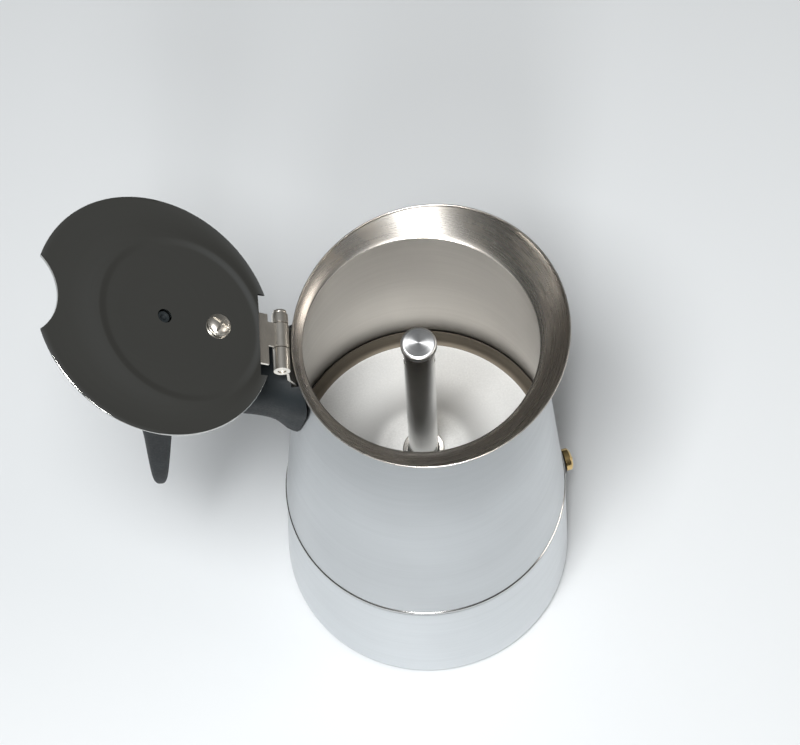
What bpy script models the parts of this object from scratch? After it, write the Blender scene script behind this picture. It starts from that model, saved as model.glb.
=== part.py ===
"""Stovetop moka pot with its lid open, modelled as separate fitted pieces.

Metres, +Z up. The origin is on the pot's axis at the underside of the base.
The handle and the lid hinge are towards -X and the pouring side is towards +X.
"""

import math

import bmesh
import bpy
from mathutils import Matrix

MM = 0.001

# How finely round pieces are divided
SHELL_STEPS = 52
RING_STEPS = 40
SMALL_STEPS = 24
TINY_STEPS = 14
COIL_STEPS = 10

# Share of a step by which a cutter is turned, so that its corners miss those of the part
CUT_PHASE = 0.4

# Clearances between pieces
GAP = 0.3 * MM
SLIDE_GAP = 0.4 * MM
THREAD_GAP = 0.35 * MM
PIN_GAP = 0.07 * MM

# Boiler, the lower vessel
SEAM_RADIUS = 47.0 * MM
BASE_RADIUS = SEAM_RADIUS + 2.5 * MM
BOILER_HEIGHT = 52.0 * MM
BOILER_WALL = 1.0 * MM
NECK_RADIUS = SEAM_RADIUS - 7.6 * MM
NECK_HEIGHT = 10.0 * MM
BASE_CORNER = 3.0 * MM
BASE_GROOVE_RADIUS = BASE_RADIUS - 12.5 * MM
BASE_GROOVE_DEPTH = 0.5 * MM

# Thread between the boiler's neck and the collar of the upper vessel
THREAD_PITCH = 4.0 * MM
THREAD_TURNS = 1.25
THREAD_HEIGHT = 1.1 * MM
THREAD_HALF_ROOT = 1.0 * MM
THREAD_HALF_CREST = 0.5 * MM
THREAD_START = BOILER_HEIGHT + 2.6 * MM
COLLAR_GAP = 0.55 * MM
COLLAR_HEIGHT = 16.6 * MM
COLLAR_WEB = 1.2 * MM
COLLAR_WEB_RADIUS = NECK_RADIUS - 6.4 * MM

# Upper vessel
UPPER_WALL = 0.8 * MM
UPPER_HEIGHT = 108.2 * MM
WAIST_RADIUS = SEAM_RADIUS - 10.5 * MM
WAIST_OFFSET = 0.8 * MM
WAIST_HEIGHT = BOILER_HEIGHT + UPPER_HEIGHT
RIM_LENGTH = 2 * WAIST_RADIUS + 10.2 * MM
RIM_WIDTH = 2 * WAIST_RADIUS + 13.8 * MM
RIM_OFFSET = 3.6 * MM
FLARE_HEIGHT = 5.9 * MM
RIM_HEIGHT = WAIST_HEIGHT + FLARE_HEIGHT
RIM_SLOPE = 0.095
RIM_BEAD = 0.5 * MM
FLARE_STEPS = 5
FLARE_POWER = 1.2
SEAM_BEAD_HEIGHT = 1.4 * MM
SEAM_BEAD = 0.35 * MM

# Floor and coffee column of the upper vessel
FLOOR_HEIGHT = BOILER_HEIGHT + 25.2 * MM
FLOOR_RADIUS = NECK_RADIUS + 0.3 * MM
FLOOR_WALL = 0.8 * MM
FLOOR_RISE = 3.4 * MM
FLOOR_LIP = 4.0 * MM
COLUMN_RADIUS = 4.8 * MM
COLUMN_WALL = 0.9 * MM
COLUMN_TOP = WAIST_HEIGHT - 2.8 * MM
COLUMN_FOOT = FLOOR_HEIGHT - 3.7 * MM
COLUMN_OUTLET_RADIUS = 1.8 * MM
COLUMN_OUTLET_DROP = 7.0 * MM
CAP_RADIUS = COLUMN_RADIUS + 0.7 * MM
CAP_THICKNESS = 2.8 * MM
CAP_STEM = 3.0 * MM
COLUMN_RING_RADIUS = COLUMN_RADIUS + 2.0 * MM
COLUMN_RING_HEIGHT = 0.8 * MM

# Filter plate, gasket and funnel between the two vessels
GASKET_HEIGHT = 2.8 * MM
GASKET_HOLE_RADIUS = NECK_RADIUS - 7.9 * MM
PLATE_THICKNESS = 0.8 * MM
PLATE_HOLE_RADIUS = 0.8 * MM
PLATE_HOLE_RINGS = ((6, 0.22), (12, 0.5))
FUNNEL_FLANGE = 0.9 * MM
FUNNEL_WALL = 0.8 * MM
BASKET_RADIUS = NECK_RADIUS - 6.4 * MM
BASKET_DEPTH = 15.0 * MM
CONE_DEPTH = 9.0 * MM
STEM_RADIUS = 4.5 * MM
STEM_FOOT = 6.0 * MM
SCREEN_THICKNESS = 0.8 * MM

# Safety valve in the boiler's wall
VALVE_HEIGHT = BOILER_HEIGHT - 16.0 * MM
VALVE_TURN_DEGREES = 14.0
VALVE_STEM_RADIUS = 2.9 * MM
VALVE_HEAD_RADIUS = VALVE_STEM_RADIUS + 1.0 * MM
VALVE_HEAD_HEIGHT = 2.6 * MM
VALVE_WASHER_RADIUS = VALVE_STEM_RADIUS + 1.8 * MM
VALVE_WASHER_HEIGHT = 1.1 * MM
VALVE_NUT_RADIUS = VALVE_STEM_RADIUS + 2.3 * MM
VALVE_NUT_HEIGHT = 2.4 * MM
VALVE_BORE_RADIUS = VALVE_STEM_RADIUS - 0.8 * MM
VALVE_PIN_RADIUS = 0.8 * MM
VALVE_MOUTH_RADIUS = VALVE_PIN_RADIUS + 0.35 * MM
VALVE_PIN_PROUD = 0.6 * MM
VALVE_PIN_TRAVEL = 1.2 * MM
VALVE_SPRING_WIRE = 0.25 * MM
VALVE_SPRING_TURNS = 4

# Lid hinge
HINGE_OFFSET = RIM_LENGTH / 2 - RIM_OFFSET + 3.0 * MM
HINGE_HEIGHT = RIM_HEIGHT
HINGE_LENGTH = 18.6 * MM
HINGE_PIN_RADIUS = 1.2 * MM
KNUCKLE_RADIUS = HINGE_PIN_RADIUS + 1.3 * MM
LEAF_THICKNESS = 0.8 * MM
LID_KNUCKLE_FROM = -2.0 * MM
LID_KNUCKLE_TO = 5.8 * MM
LID_OPEN_DEGREES = 148.7

# Lid
LID_RADIUS = WAIST_RADIUS + 1.5 * MM
LID_CENTRE = HINGE_OFFSET + 1.0 * MM
LID_THICKNESS = 0.8 * MM
LID_DROP = 3.3 * MM
LID_DISH_RADIUS = LID_RADIUS - 11.5 * MM
LID_DISH_CENTRE = LID_CENTRE - 8.1 * MM
LID_DISH_HEIGHT = 1.1 * MM
LID_DISH_SLOPE = 2.8 * MM
LID_HINGE_CUT = 8.7 * MM
LID_HINGE_CUT_WIDTH = HINGE_LENGTH + 8.0 * MM
LID_NOTCH_RADIUS = 15.5 * MM
LID_NOTCH_DEPTH = 7.2 * MM
LID_SCREW_AT = LID_CENTRE - 19.9 * MM
LID_PEG_AT = LID_CENTRE - 2.6 * MM
LID_SCREW_RADIUS = 1.6 * MM
LID_SCREW_HEAD = LID_SCREW_RADIUS + 2.0 * MM
LID_PEG_RADIUS = 1.9 * MM
KNOB_HEIGHT = 15.0 * MM
KNOB_WIDTH = 9.0 * MM
KNOB_LENGTH = 27.0 * MM

# Handle and what holds it
HANDLE_ROOT_TOP = WAIST_HEIGHT - 3.7 * MM
HANDLE_ROOT_HEIGHT = 41.0 * MM
HANDLE_ROOT_WIDTH = 33.0 * MM
HANDLE_ARM_WIDTH = 18.0 * MM
HANDLE_REACH = WAIST_RADIUS + 50.5 * MM
HANDLE_FOOT = HANDLE_ROOT_TOP - 83.5 * MM
BRACKET_WIDTH = 14.0 * MM
BRACKET_TOP = HANDLE_ROOT_TOP - 15.5 * MM
BRACKET_FOOT = BRACKET_TOP - 22.0 * MM
HANDLE_SCREW_HEIGHT = BRACKET_FOOT + 8.0 * MM
HANDLE_SCREW_RADIUS = 1.7 * MM
HANDLE_SCREW_HEAD = 3.2 * MM
HANDLE_SCREW_HEAD_HEIGHT = 1.6 * MM

# Plain colours: red, green, blue, roughness, metallic
FINISHES = {
    "brushed_steel": (0.62, 0.63, 0.64, 0.3, 1.0),
    "polished_steel": (0.74, 0.74, 0.74, 0.12, 1.0),
    "matt_steel": (0.66, 0.67, 0.67, 0.5, 1.0),
    "brass": (0.72, 0.52, 0.22, 0.28, 1.0),
    "black_plastic": (0.025, 0.027, 0.03, 0.45, 0.0),
    "dark_rubber": (0.03, 0.028, 0.026, 0.6, 0.0),
    "pale_rubber": (0.78, 0.77, 0.72, 0.6, 0.0),
}


def clear_scene():
    for obj in list(bpy.data.objects):
        bpy.data.objects.remove(obj, do_unlink=True)


def make_collection(name, hidden):
    home = bpy.data.collections.new(name)
    bpy.context.scene.collection.children.link(home)
    home.hide_render = hidden
    return home


def make_material(name, finish):
    red, green, blue, roughness, metallic = FINISHES[finish]
    material = bpy.data.materials.new(name + "_" + finish)
    material.use_nodes = True
    shader = material.node_tree.nodes["Principled BSDF"]
    shader.inputs["Base Color"].default_value = (red, green, blue, 1.0)
    shader.inputs["Roughness"].default_value = roughness
    shader.inputs["Metallic"].default_value = metallic
    material.diffuse_color = (red, green, blue, 1.0)
    return material


def add_object(name, mesh, finish, smooth=True):
    """A named part with its own material, in the collection of parts."""
    obj = bpy.data.objects.new(name, mesh)
    PARTS.objects.link(obj)
    mesh.materials.append(make_material(name, finish))
    if smooth:
        mesh.shade_smooth()
    return obj


def add_cutter(name, mesh):
    """A helper that is only used in Booleans."""
    obj = bpy.data.objects.new(name, mesh)
    CUTTERS.objects.link(obj)
    obj.hide_render = True
    obj.display_type = "WIRE"
    return obj


def mesh_of(name, points, faces):
    """A mesh whose faces all point outwards."""
    mesh = bpy.data.meshes.new(name)
    mesh.from_pydata(points, [], faces)
    work = bmesh.new()
    work.from_mesh(mesh)
    bmesh.ops.recalc_face_normals(work, faces=work.faces)
    if work.calc_volume(signed=True) < 0:
        bmesh.ops.reverse_faces(work, faces=work.faces)
    work.to_mesh(mesh)
    work.free()
    return mesh


def loft_mesh(name, rings, closed):
    """Skin over rings of equal length. A closed loft joins its last ring to its first."""
    count = len(rings[0])
    points = [point for ring in rings for point in ring]
    faces = []
    for row in range(len(rings) if closed else len(rings) - 1):
        near = row * count
        far = (row + 1) % len(rings) * count
        for i in range(count):
            j = (i + 1) % count
            faces.append((near + i, near + j, far + j, far + i))
    if not closed:
        faces.append(tuple(range(count)))
        faces.append(tuple(range((len(rings) - 1) * count, len(rings) * count)))
    return mesh_of(name, points, faces)


def turned_mesh(name, profile, steps):
    """A profile of (radius, height) turned about Z. One that ends on the axis is closed by it."""
    on_axis = profile[0][0] == 0.0
    middle = profile[1:-1] if on_axis else profile
    rings = []
    for radius, height in middle:
        ring = []
        for i in range(steps):
            turn = 2 * math.pi * i / steps
            ring.append((radius * math.cos(turn), radius * math.sin(turn), height))
        rings.append(ring)
    if not on_axis:
        return loft_mesh(name, rings, True)
    points = [point for ring in rings for point in ring]
    top = len(points)
    points.append((0.0, 0.0, profile[0][1]))
    points.append((0.0, 0.0, profile[-1][1]))
    last = (len(rings) - 1) * steps
    faces = []
    for row in range(len(rings) - 1):
        near = row * steps
        for i in range(steps):
            j = (i + 1) % steps
            faces.append((near + i, near + j, near + steps + j, near + steps + i))
    for i in range(steps):
        j = (i + 1) % steps
        faces.append((top, j, i))
        faces.append((top + 1, last + i, last + j))
    return mesh_of(name, points, faces)


def runs_down_outside(profile):
    """The profile in the order that makes a Screw modifier's faces point outwards."""
    area = 0.0
    for i, (radius, height) in enumerate(profile):
        next_radius, next_height = profile[(i + 1) % len(profile)]
        area += radius * next_height - next_radius * height
    return profile[::-1] if area > 0 else profile


def screw_turned(name, profile, steps, finish):
    """A part turned from a closed profile by a Screw modifier, which stays editable."""
    mesh = bpy.data.meshes.new(name)
    points = [(radius, 0.0, height) for radius, height in runs_down_outside(profile)]
    edges = [(i, (i + 1) % len(points)) for i in range(len(points))]
    mesh.from_pydata(points, edges, [])
    obj = add_object(name, mesh, finish)
    screw = obj.modifiers.new("Turn", "SCREW")
    screw.axis = "Z"
    screw.angle = 2 * math.pi
    screw.steps = steps
    screw.render_steps = steps
    screw.use_merge_vertices = True
    screw.merge_threshold = 0.00001
    screw.use_smooth_shade = True
    return obj


def turned(name, profile, steps, finish):
    return add_object(name, turned_mesh(name, profile, steps), finish)


def rod_profile(radius, low, high):
    return [(0.0, high), (radius, high), (radius, low), (0.0, low)]


def box_mesh(name, low, high):
    x0, y0, z0 = low
    x1, y1, z1 = high
    lower = [(x0, y0, z0), (x1, y0, z0), (x1, y1, z0), (x0, y1, z0)]
    upper = [(x, y, z1) for x, y, _ in lower]
    return loft_mesh(name, [lower, upper], False)


def strip_mesh(name, line, thickness, y_from, y_to):
    """A strip that follows a line of (x, z) points, with square sides and an even thickness."""
    left = []
    right = []
    for i, (x, z) in enumerate(line):
        before = line[max(i - 1, 0)]
        after = line[min(i + 1, len(line) - 1)]
        run = math.hypot(after[0] - before[0], after[1] - before[1])
        across = (-(after[1] - before[1]) / run, (after[0] - before[0]) / run)
        left.append((x + across[0] * thickness / 2, z + across[1] * thickness / 2))
        right.append((x - across[0] * thickness / 2, z - across[1] * thickness / 2))
    outline = left + right[::-1]
    rings = [[(x, y, z) for x, z in outline] for y in (y_from, y_to)]
    return loft_mesh(name, rings, False)


def helix_mesh(name, radius, depth, height, half_root, half_crest, start, turns, steps):
    """A screw thread's ridge: a wedge that is swept along a helix about Z."""
    rings = []
    for i in range(round(turns * steps) + 1):
        turn = 2 * math.pi * (i + CUT_PHASE) / steps
        middle = start + THREAD_PITCH * i / steps
        section = (
            (radius - depth, middle - half_root),
            (radius + height, middle - half_crest),
            (radius + height, middle + half_crest),
            (radius - depth, middle + half_root),
        )
        rings.append([(r * math.cos(turn), r * math.sin(turn), z) for r, z in section])
    return loft_mesh(name, rings, False)


def boolean(obj, other, operation):
    step = obj.modifiers.new(operation.title() + " " + other.name, "BOOLEAN")
    step.operation = operation
    step.object = other
    step.solver = "EXACT"


def cut(obj, name, mesh):
    cutter = add_cutter(name, mesh)
    boolean(obj, cutter, "DIFFERENCE")
    return cutter


def join(obj, name, mesh):
    helper = add_cutter(name, mesh)
    boolean(obj, helper, "UNION")
    return helper


def drill(obj, name, radius, low, high, x=0.0, y=0.0, steps=TINY_STEPS):
    """A round hole along Z."""
    cutter = cut(obj, name, turned_mesh(name, rod_profile(radius, low, high), steps))
    cutter.location = (x, y, 0.0)
    cutter.rotation_euler = (0.0, 0.0, CUT_PHASE * 2 * math.pi / steps)
    return cutter


def body_radius(height):
    """Outer radius of the upper vessel's straight side at this height."""
    share = (height - BOILER_HEIGHT) / (WAIST_HEIGHT - BOILER_HEIGHT)
    return SEAM_RADIUS + share * (WAIST_RADIUS - SEAM_RADIUS)


def boiler_radius(height):
    """Outer radius of the boiler's side at this height."""
    return SEAM_RADIUS + (BASE_RADIUS - SEAM_RADIUS) * (1 - height / BOILER_HEIGHT)


def build_boiler():
    top = BOILER_HEIGHT
    inner = BOILER_WALL
    profile = [
        (NECK_RADIUS, top + NECK_HEIGHT),
        (NECK_RADIUS, top),
        (SEAM_RADIUS - 1.2 * MM, top),
        (SEAM_RADIUS - 0.3 * MM, top - 0.4 * MM),
        (SEAM_RADIUS, top - 1.3 * MM),
        (boiler_radius(0.5 * top), 0.5 * top),
        (boiler_radius(BASE_CORNER), BASE_CORNER + 1.2 * MM),
        (boiler_radius(0) - 0.5 * MM, 0.5 * BASE_CORNER),
        (boiler_radius(0) - 1.4 * MM, 0.15 * BASE_CORNER),
        (boiler_radius(0) - BASE_CORNER, 0.0),
        (BASE_GROOVE_RADIUS + 1.0 * MM, 0.0),
        (BASE_GROOVE_RADIUS, BASE_GROOVE_DEPTH),
        (BASE_GROOVE_RADIUS - 1.0 * MM, 0.0),
    ]
    hollow = [
        (boiler_radius(0) - BASE_CORNER - 0.4 * MM, inner + BASE_GROOVE_DEPTH),
        (boiler_radius(0) - inner - 0.6 * MM, BASE_CORNER + 1.0 * MM),
        (boiler_radius(top) - inner, top - inner - 0.8 * MM),
        (SEAM_RADIUS - 2.0 * MM, top - inner),
        (NECK_RADIUS - inner, top - inner),
        (NECK_RADIUS - inner, top + NECK_HEIGHT),
    ]
    outline = [(0.0, 0.0)] + profile[::-1] + hollow[::-1] + [(0.0, inner + BASE_GROOVE_DEPTH)]
    shell = turned("boiler_shell", outline[::-1], SHELL_STEPS, "brushed_steel")
    join(
        shell,
        "thread_ridge",
        helix_mesh(
            "thread_ridge",
            NECK_RADIUS,
            0.5 * BOILER_WALL,
            THREAD_HEIGHT,
            THREAD_HALF_ROOT,
            THREAD_HALF_CREST,
            THREAD_START,
            THREAD_TURNS,
            SHELL_STEPS,
        ),
    )
    return shell


def build_collar():
    """Threaded ring inside the foot of the upper vessel."""
    low = BOILER_HEIGHT + 1.0 * MM
    high = low + COLLAR_HEIGHT
    bore = NECK_RADIUS + COLLAR_GAP
    edge = UPPER_WALL + GAP
    outline = [
        (body_radius(high) - edge, high),
        (body_radius(low) - edge, low),
        (bore, low),
        (bore, high - COLLAR_WEB),
        (COLLAR_WEB_RADIUS, high - COLLAR_WEB),
        (COLLAR_WEB_RADIUS, high),
    ]
    collar = screw_turned("collar", outline, SHELL_STEPS, "matt_steel")
    turns_below = math.ceil((THREAD_START - low) / THREAD_PITCH) + 1
    cut(
        collar,
        "thread_groove",
        helix_mesh(
            "thread_groove",
            NECK_RADIUS,
            0.5 * BOILER_WALL,
            THREAD_HEIGHT + THREAD_GAP,
            THREAD_HALF_ROOT + THREAD_GAP,
            THREAD_HALF_CREST + THREAD_GAP,
            THREAD_START - turns_below * THREAD_PITCH,
            turns_below + THREAD_TURNS + 0.06,
            SHELL_STEPS,
        ),
    )
    return collar


def upper_ring(radius_x, radius_y, offset, height, slope=0.0):
    ring = []
    for i in range(SHELL_STEPS):
        turn = 2 * math.pi * i / SHELL_STEPS
        x = radius_x * math.cos(turn)
        ring.append((offset + x, radius_y * math.sin(turn), height + slope * x))
    return ring


def flare_ring(share, inset):
    """A ring of the flared mouth: share 0 is the waist and share 1 is the rim."""
    rise = share**FLARE_POWER
    radius_x = WAIST_RADIUS + share * (RIM_LENGTH / 2 - WAIST_RADIUS) - inset
    radius_y = WAIST_RADIUS + share * (RIM_WIDTH / 2 - WAIST_RADIUS) - inset
    offset = WAIST_OFFSET + share * (RIM_OFFSET - WAIST_OFFSET)
    height = WAIST_HEIGHT + rise * (RIM_HEIGHT - WAIST_HEIGHT)
    return upper_ring(radius_x, radius_y, offset, height, RIM_SLOPE * rise)


def body_ring(height, inset):
    share = (height - BOILER_HEIGHT) / (WAIST_HEIGHT - BOILER_HEIGHT)
    radius = body_radius(height) - inset
    return upper_ring(radius, radius, share**6 * WAIST_OFFSET, height)


def build_upper_shell():
    foot = BOILER_HEIGHT + GAP
    bead_top = foot + SEAM_BEAD_HEIGHT
    levels = [
        bead_top + 0.3 * MM,
        0.5 * (bead_top + WAIST_HEIGHT),
        WAIST_HEIGHT - 22 * MM,
        WAIST_HEIGHT - 9 * MM,
    ]
    rings = [
        body_ring(foot, 0.0),
        body_ring(foot + 0.3 * MM, -SEAM_BEAD),
        body_ring(bead_top - 0.3 * MM, -SEAM_BEAD),
    ]
    rings += [body_ring(level, 0.0) for level in levels]
    rings += [flare_ring(i / FLARE_STEPS, 0.0) for i in range(FLARE_STEPS + 1)]
    rim = RIM_LENGTH / 2
    width = RIM_WIDTH / 2
    bead = RIM_BEAD
    for grow, lift in ((bead, 0.0), (bead, bead), (0.0, 1.4 * bead), (-1.4 * bead, bead)):
        rings.append(
            upper_ring(rim + grow, width + grow, RIM_OFFSET, RIM_HEIGHT + lift, RIM_SLOPE)
        )
    rings += [flare_ring(i / FLARE_STEPS, UPPER_WALL) for i in range(FLARE_STEPS, -1, -1)]
    rings += [body_ring(level, UPPER_WALL) for level in levels[::-1]]
    rings.append(body_ring(foot, UPPER_WALL))
    mesh = loft_mesh("upper_shell", rings, True)
    return add_object("upper_shell", mesh, "brushed_steel")


def build_floor():
    """Pressed floor of the upper vessel, with a low dome round the column."""
    hole = COLUMN_RADIUS + GAP
    high = FLOOR_HEIGHT
    wall = FLOOR_WALL
    edge = UPPER_WALL + GAP
    lip = high + FLOOR_LIP
    outline = [
        (hole, high + FLOOR_RISE),
        (hole, high + FLOOR_RISE - wall),
        (10 * MM, high + FLOOR_RISE - wall - 0.4 * MM),
        (21 * MM, high - wall),
        (FLOOR_RADIUS + 0.2 * MM, high - wall),
        (FLOOR_RADIUS + 2.6 * MM, high),
        (body_radius(lip) - edge, lip - 1.0 * MM),
        (body_radius(lip) - edge, lip),
        (body_radius(lip) - edge - 0.6 * wall, lip),
        (FLOOR_RADIUS + 1.9 * MM, high + 1.0 * MM),
        (FLOOR_RADIUS, high),
        (21 * MM, high),
        (10 * MM, high + FLOOR_RISE - 0.5 * MM),
    ]
    return screw_turned("chamber_floor", outline, RING_STEPS, "matt_steel")


def build_column():
    inner = COLUMN_RADIUS - COLUMN_WALL
    outline = [
        (COLUMN_RADIUS, COLUMN_TOP),
        (COLUMN_RADIUS, COLUMN_FOOT),
        (inner, COLUMN_FOOT),
        (inner, COLUMN_TOP),
    ]
    column = screw_turned("column", outline, SMALL_STEPS, "polished_steel")
    outlet = turned_mesh(
        "column_outlet",
        rod_profile(COLUMN_OUTLET_RADIUS, -2 * COLUMN_RADIUS, 2 * COLUMN_RADIUS),
        TINY_STEPS,
    )
    cutter = cut(column, "column_outlet", outlet)
    cutter.location = (0.0, 0.0, COLUMN_TOP - COLUMN_OUTLET_DROP)
    cutter.rotation_euler = (0.0, math.pi / 2, 0.0)

    low = COLUMN_TOP + GAP
    stem = inner - GAP
    turned(
        "column_cap",
        [
            (0.0, low + CAP_THICKNESS),
            (CAP_RADIUS - 0.6 * MM, low + CAP_THICKNESS),
            (CAP_RADIUS, low + CAP_THICKNESS - 0.5 * MM),
            (CAP_RADIUS, low + 0.3 * MM),
            (CAP_RADIUS - 0.3 * MM, low),
            (stem, low),
            (stem, COLUMN_TOP - CAP_STEM),
            (0.0, COLUMN_TOP - CAP_STEM),
        ],
        SMALL_STEPS,
        "polished_steel",
    )
    ring_low = FLOOR_HEIGHT + FLOOR_RISE + GAP
    ring = [
        (COLUMN_RING_RADIUS, ring_low + 0.5 * COLUMN_RING_HEIGHT),
        (COLUMN_RING_RADIUS, ring_low),
        (COLUMN_RADIUS + GAP, ring_low),
        (COLUMN_RADIUS + GAP, ring_low + COLUMN_RING_HEIGHT),
        (COLUMN_RING_RADIUS - 0.5 * MM, ring_low + COLUMN_RING_HEIGHT),
    ]
    screw_turned("column_ring", ring, SMALL_STEPS, "polished_steel")


def build_perforated_disc(name, radius, low, thickness):
    """A thin disc with rings of small holes, all cut by one helper."""
    rings = []
    for height in (low, low + thickness):
        ring = []
        for i in range(RING_STEPS):
            turn = 2 * math.pi * i / RING_STEPS
            ring.append((radius * math.cos(turn), radius * math.sin(turn), height))
        rings.append(ring)
    disc = add_object(name, loft_mesh(name, rings, False), "matt_steel")
    points = []
    faces = []
    for count, share in PLATE_HOLE_RINGS:
        for i in range(count):
            turn = 2 * math.pi * (i + 0.3) / count
            x = share * radius * math.cos(turn)
            y = share * radius * math.sin(turn)
            first = len(points)
            for height in (low - 1 * MM, low + thickness + 1 * MM):
                for k in range(6):
                    corner = 2 * math.pi * k / 6 + turn
                    points.append(
                        (
                            x + PLATE_HOLE_RADIUS * math.cos(corner),
                            y + PLATE_HOLE_RADIUS * math.sin(corner),
                            height,
                        )
                    )
            faces.append(tuple(first + k for k in range(6)))
            faces.append(tuple(first + 6 + k for k in range(6)))
            for k in range(6):
                n = (k + 1) % 6
                faces.append((first + k, first + n, first + 6 + n, first + 6 + k))
    cut(disc, name + "_holes", mesh_of(name + "_holes", points, faces))


def build_filters():
    """Funnel, its screen, the gasket and the filter plate, from the bottom up."""
    seat = BOILER_HEIGHT + NECK_HEIGHT + GAP
    flange = seat + FUNNEL_FLANGE
    edge = NECK_RADIUS + COLLAR_GAP - SLIDE_GAP
    basket = seat - BASKET_DEPTH
    cone = basket - CONE_DEPTH
    wall = FUNNEL_WALL
    outline = [
        (NECK_RADIUS, flange),
        (NECK_RADIUS, seat),
        (BASKET_RADIUS, seat),
        (BASKET_RADIUS, basket),
        (STEM_RADIUS, cone),
        (STEM_RADIUS, STEM_FOOT),
        (STEM_RADIUS - wall, STEM_FOOT),
        (STEM_RADIUS - wall, cone + 0.4 * MM),
        (BASKET_RADIUS - 3 * MM, basket + 0.4 * MM),
        (BASKET_RADIUS - wall, basket + 0.4 * MM),
        (BASKET_RADIUS - wall, flange),
    ]
    screw_turned("funnel", outline, RING_STEPS, "matt_steel")

    screen_low = basket + 0.4 * MM + GAP
    build_perforated_disc(
        "funnel_screen", BASKET_RADIUS - wall - GAP, screen_low, SCREEN_THICKNESS
    )

    gasket_low = flange + GAP
    gasket_high = gasket_low + GASKET_HEIGHT
    screw_turned(
        "gasket",
        [
            (edge, gasket_high - 0.3 * MM),
            (edge, gasket_low),
            (GASKET_HOLE_RADIUS, gasket_low),
            (GASKET_HOLE_RADIUS, gasket_high),
            (edge - 0.3 * MM, gasket_high),
        ],
        RING_STEPS,
        "pale_rubber",
    )
    plate_low = gasket_high + GAP
    build_perforated_disc("filter_plate", edge, plate_low, PLATE_THICKNESS)


def on_valve_axis(obj, distance):
    """Puts a part made along Z on the safety valve's axis, pointing out of the boiler."""
    turn = math.radians(VALVE_TURN_DEGREES)
    place = Matrix.Rotation(turn, 4, "Z") @ Matrix.Translation((distance, 0.0, VALVE_HEIGHT))
    obj.matrix_world = place @ Matrix.Rotation(math.pi / 2, 4, "Y")
    return obj


def build_valve(boiler):
    """Everything here is made along Z, with Z = 0 at the outside of the boiler's wall."""
    outside = boiler_radius(VALVE_HEIGHT)
    hole = VALVE_STEM_RADIUS + GAP
    cutter = cut(
        boiler,
        "valve_hole",
        turned_mesh("valve_hole", rod_profile(hole, -5 * MM, 3 * MM), SMALL_STEPS),
    )
    on_valve_axis(cutter, outside)

    washer_low = GAP + 0.15 * MM
    washer_high = washer_low + VALVE_WASHER_HEIGHT
    washer = screw_turned(
        "valve_washer",
        [
            (VALVE_WASHER_RADIUS, washer_high - 0.3 * MM),
            (VALVE_WASHER_RADIUS, washer_low),
            (hole, washer_low),
            (hole, washer_high),
            (VALVE_WASHER_RADIUS - 0.3 * MM, washer_high),
        ],
        SMALL_STEPS,
        "dark_rubber",
    )
    on_valve_axis(washer, outside)

    head_low = washer_high + GAP
    head_high = head_low + VALVE_HEAD_HEIGHT
    foot = -BOILER_WALL - VALVE_NUT_HEIGHT - 1.9 * MM
    roof = head_high - 0.9 * MM
    body = screw_turned(
        "valve_body",
        [
            (VALVE_HEAD_RADIUS - 0.9 * MM, head_high),
            (VALVE_HEAD_RADIUS, head_high - 0.7 * MM),
            (VALVE_HEAD_RADIUS, head_low),
            (VALVE_STEM_RADIUS, head_low),
            (VALVE_STEM_RADIUS, foot),
            (VALVE_BORE_RADIUS, foot),
            (VALVE_BORE_RADIUS, roof),
            (VALVE_MOUTH_RADIUS, roof),
            (VALVE_MOUTH_RADIUS, head_high),
        ],
        SMALL_STEPS,
        "brass",
    )
    on_valve_axis(body, outside)

    nut_high = -BOILER_WALL - GAP - 0.6 * MM
    nut_profile = [
        (VALVE_NUT_RADIUS, nut_high),
        (VALVE_NUT_RADIUS, nut_high - VALVE_NUT_HEIGHT),
        (hole, nut_high - VALVE_NUT_HEIGHT),
        (hole, nut_high),
    ]
    nut = add_object("valve_nut", turned_mesh("valve_nut", nut_profile, SMALL_STEPS), "brass")
    hexagon = turned_mesh(
        "nut_hexagon",
        rod_profile(VALVE_NUT_RADIUS, nut_high - 2 * VALVE_NUT_HEIGHT, nut_high + 1 * MM),
        6,
    )
    hexagon_cutter = add_cutter("nut_hexagon", hexagon)
    boolean(nut, hexagon_cutter, "INTERSECT")
    on_valve_axis(nut, outside)
    on_valve_axis(hexagon_cutter, outside)

    pin_low = foot + 0.4 * MM
    pin_collar = pin_low + 1.2 * MM
    pin_top = head_high + VALVE_PIN_PROUD
    pin = turned(
        "valve_pin",
        [
            (0.0, pin_top),
            (VALVE_PIN_RADIUS - 0.3 * MM, pin_top),
            (VALVE_PIN_RADIUS, pin_top - 0.3 * MM),
            (VALVE_PIN_RADIUS, pin_collar),
            (VALVE_BORE_RADIUS - GAP, pin_collar),
            (VALVE_BORE_RADIUS - GAP, pin_low),
            (0.0, pin_low),
        ],
        TINY_STEPS,
        "brass",
    )
    on_valve_axis(pin, outside)

    coil_radius = 0.5 * (VALVE_BORE_RADIUS + VALVE_PIN_RADIUS)
    coil_low = pin_collar + VALVE_PIN_TRAVEL + GAP + VALVE_SPRING_WIRE
    coil_high = roof - GAP - VALVE_SPRING_WIRE
    rings = []
    for i in range(VALVE_SPRING_TURNS * COIL_STEPS + 1):
        turn = 2 * math.pi * i / COIL_STEPS
        rise = coil_low + (coil_high - coil_low) * i / (VALVE_SPRING_TURNS * COIL_STEPS)
        section = []
        for k in range(4):
            roll = 2 * math.pi * k / 4
            reach = coil_radius + VALVE_SPRING_WIRE * math.cos(roll)
            height = rise + VALVE_SPRING_WIRE * math.sin(roll)
            section.append((reach * math.cos(turn), reach * math.sin(turn), height))
        rings.append(section)
    spring = add_object("valve_spring", loft_mesh("valve_spring", rings, False), "polished_steel")
    on_valve_axis(spring, outside)


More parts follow.
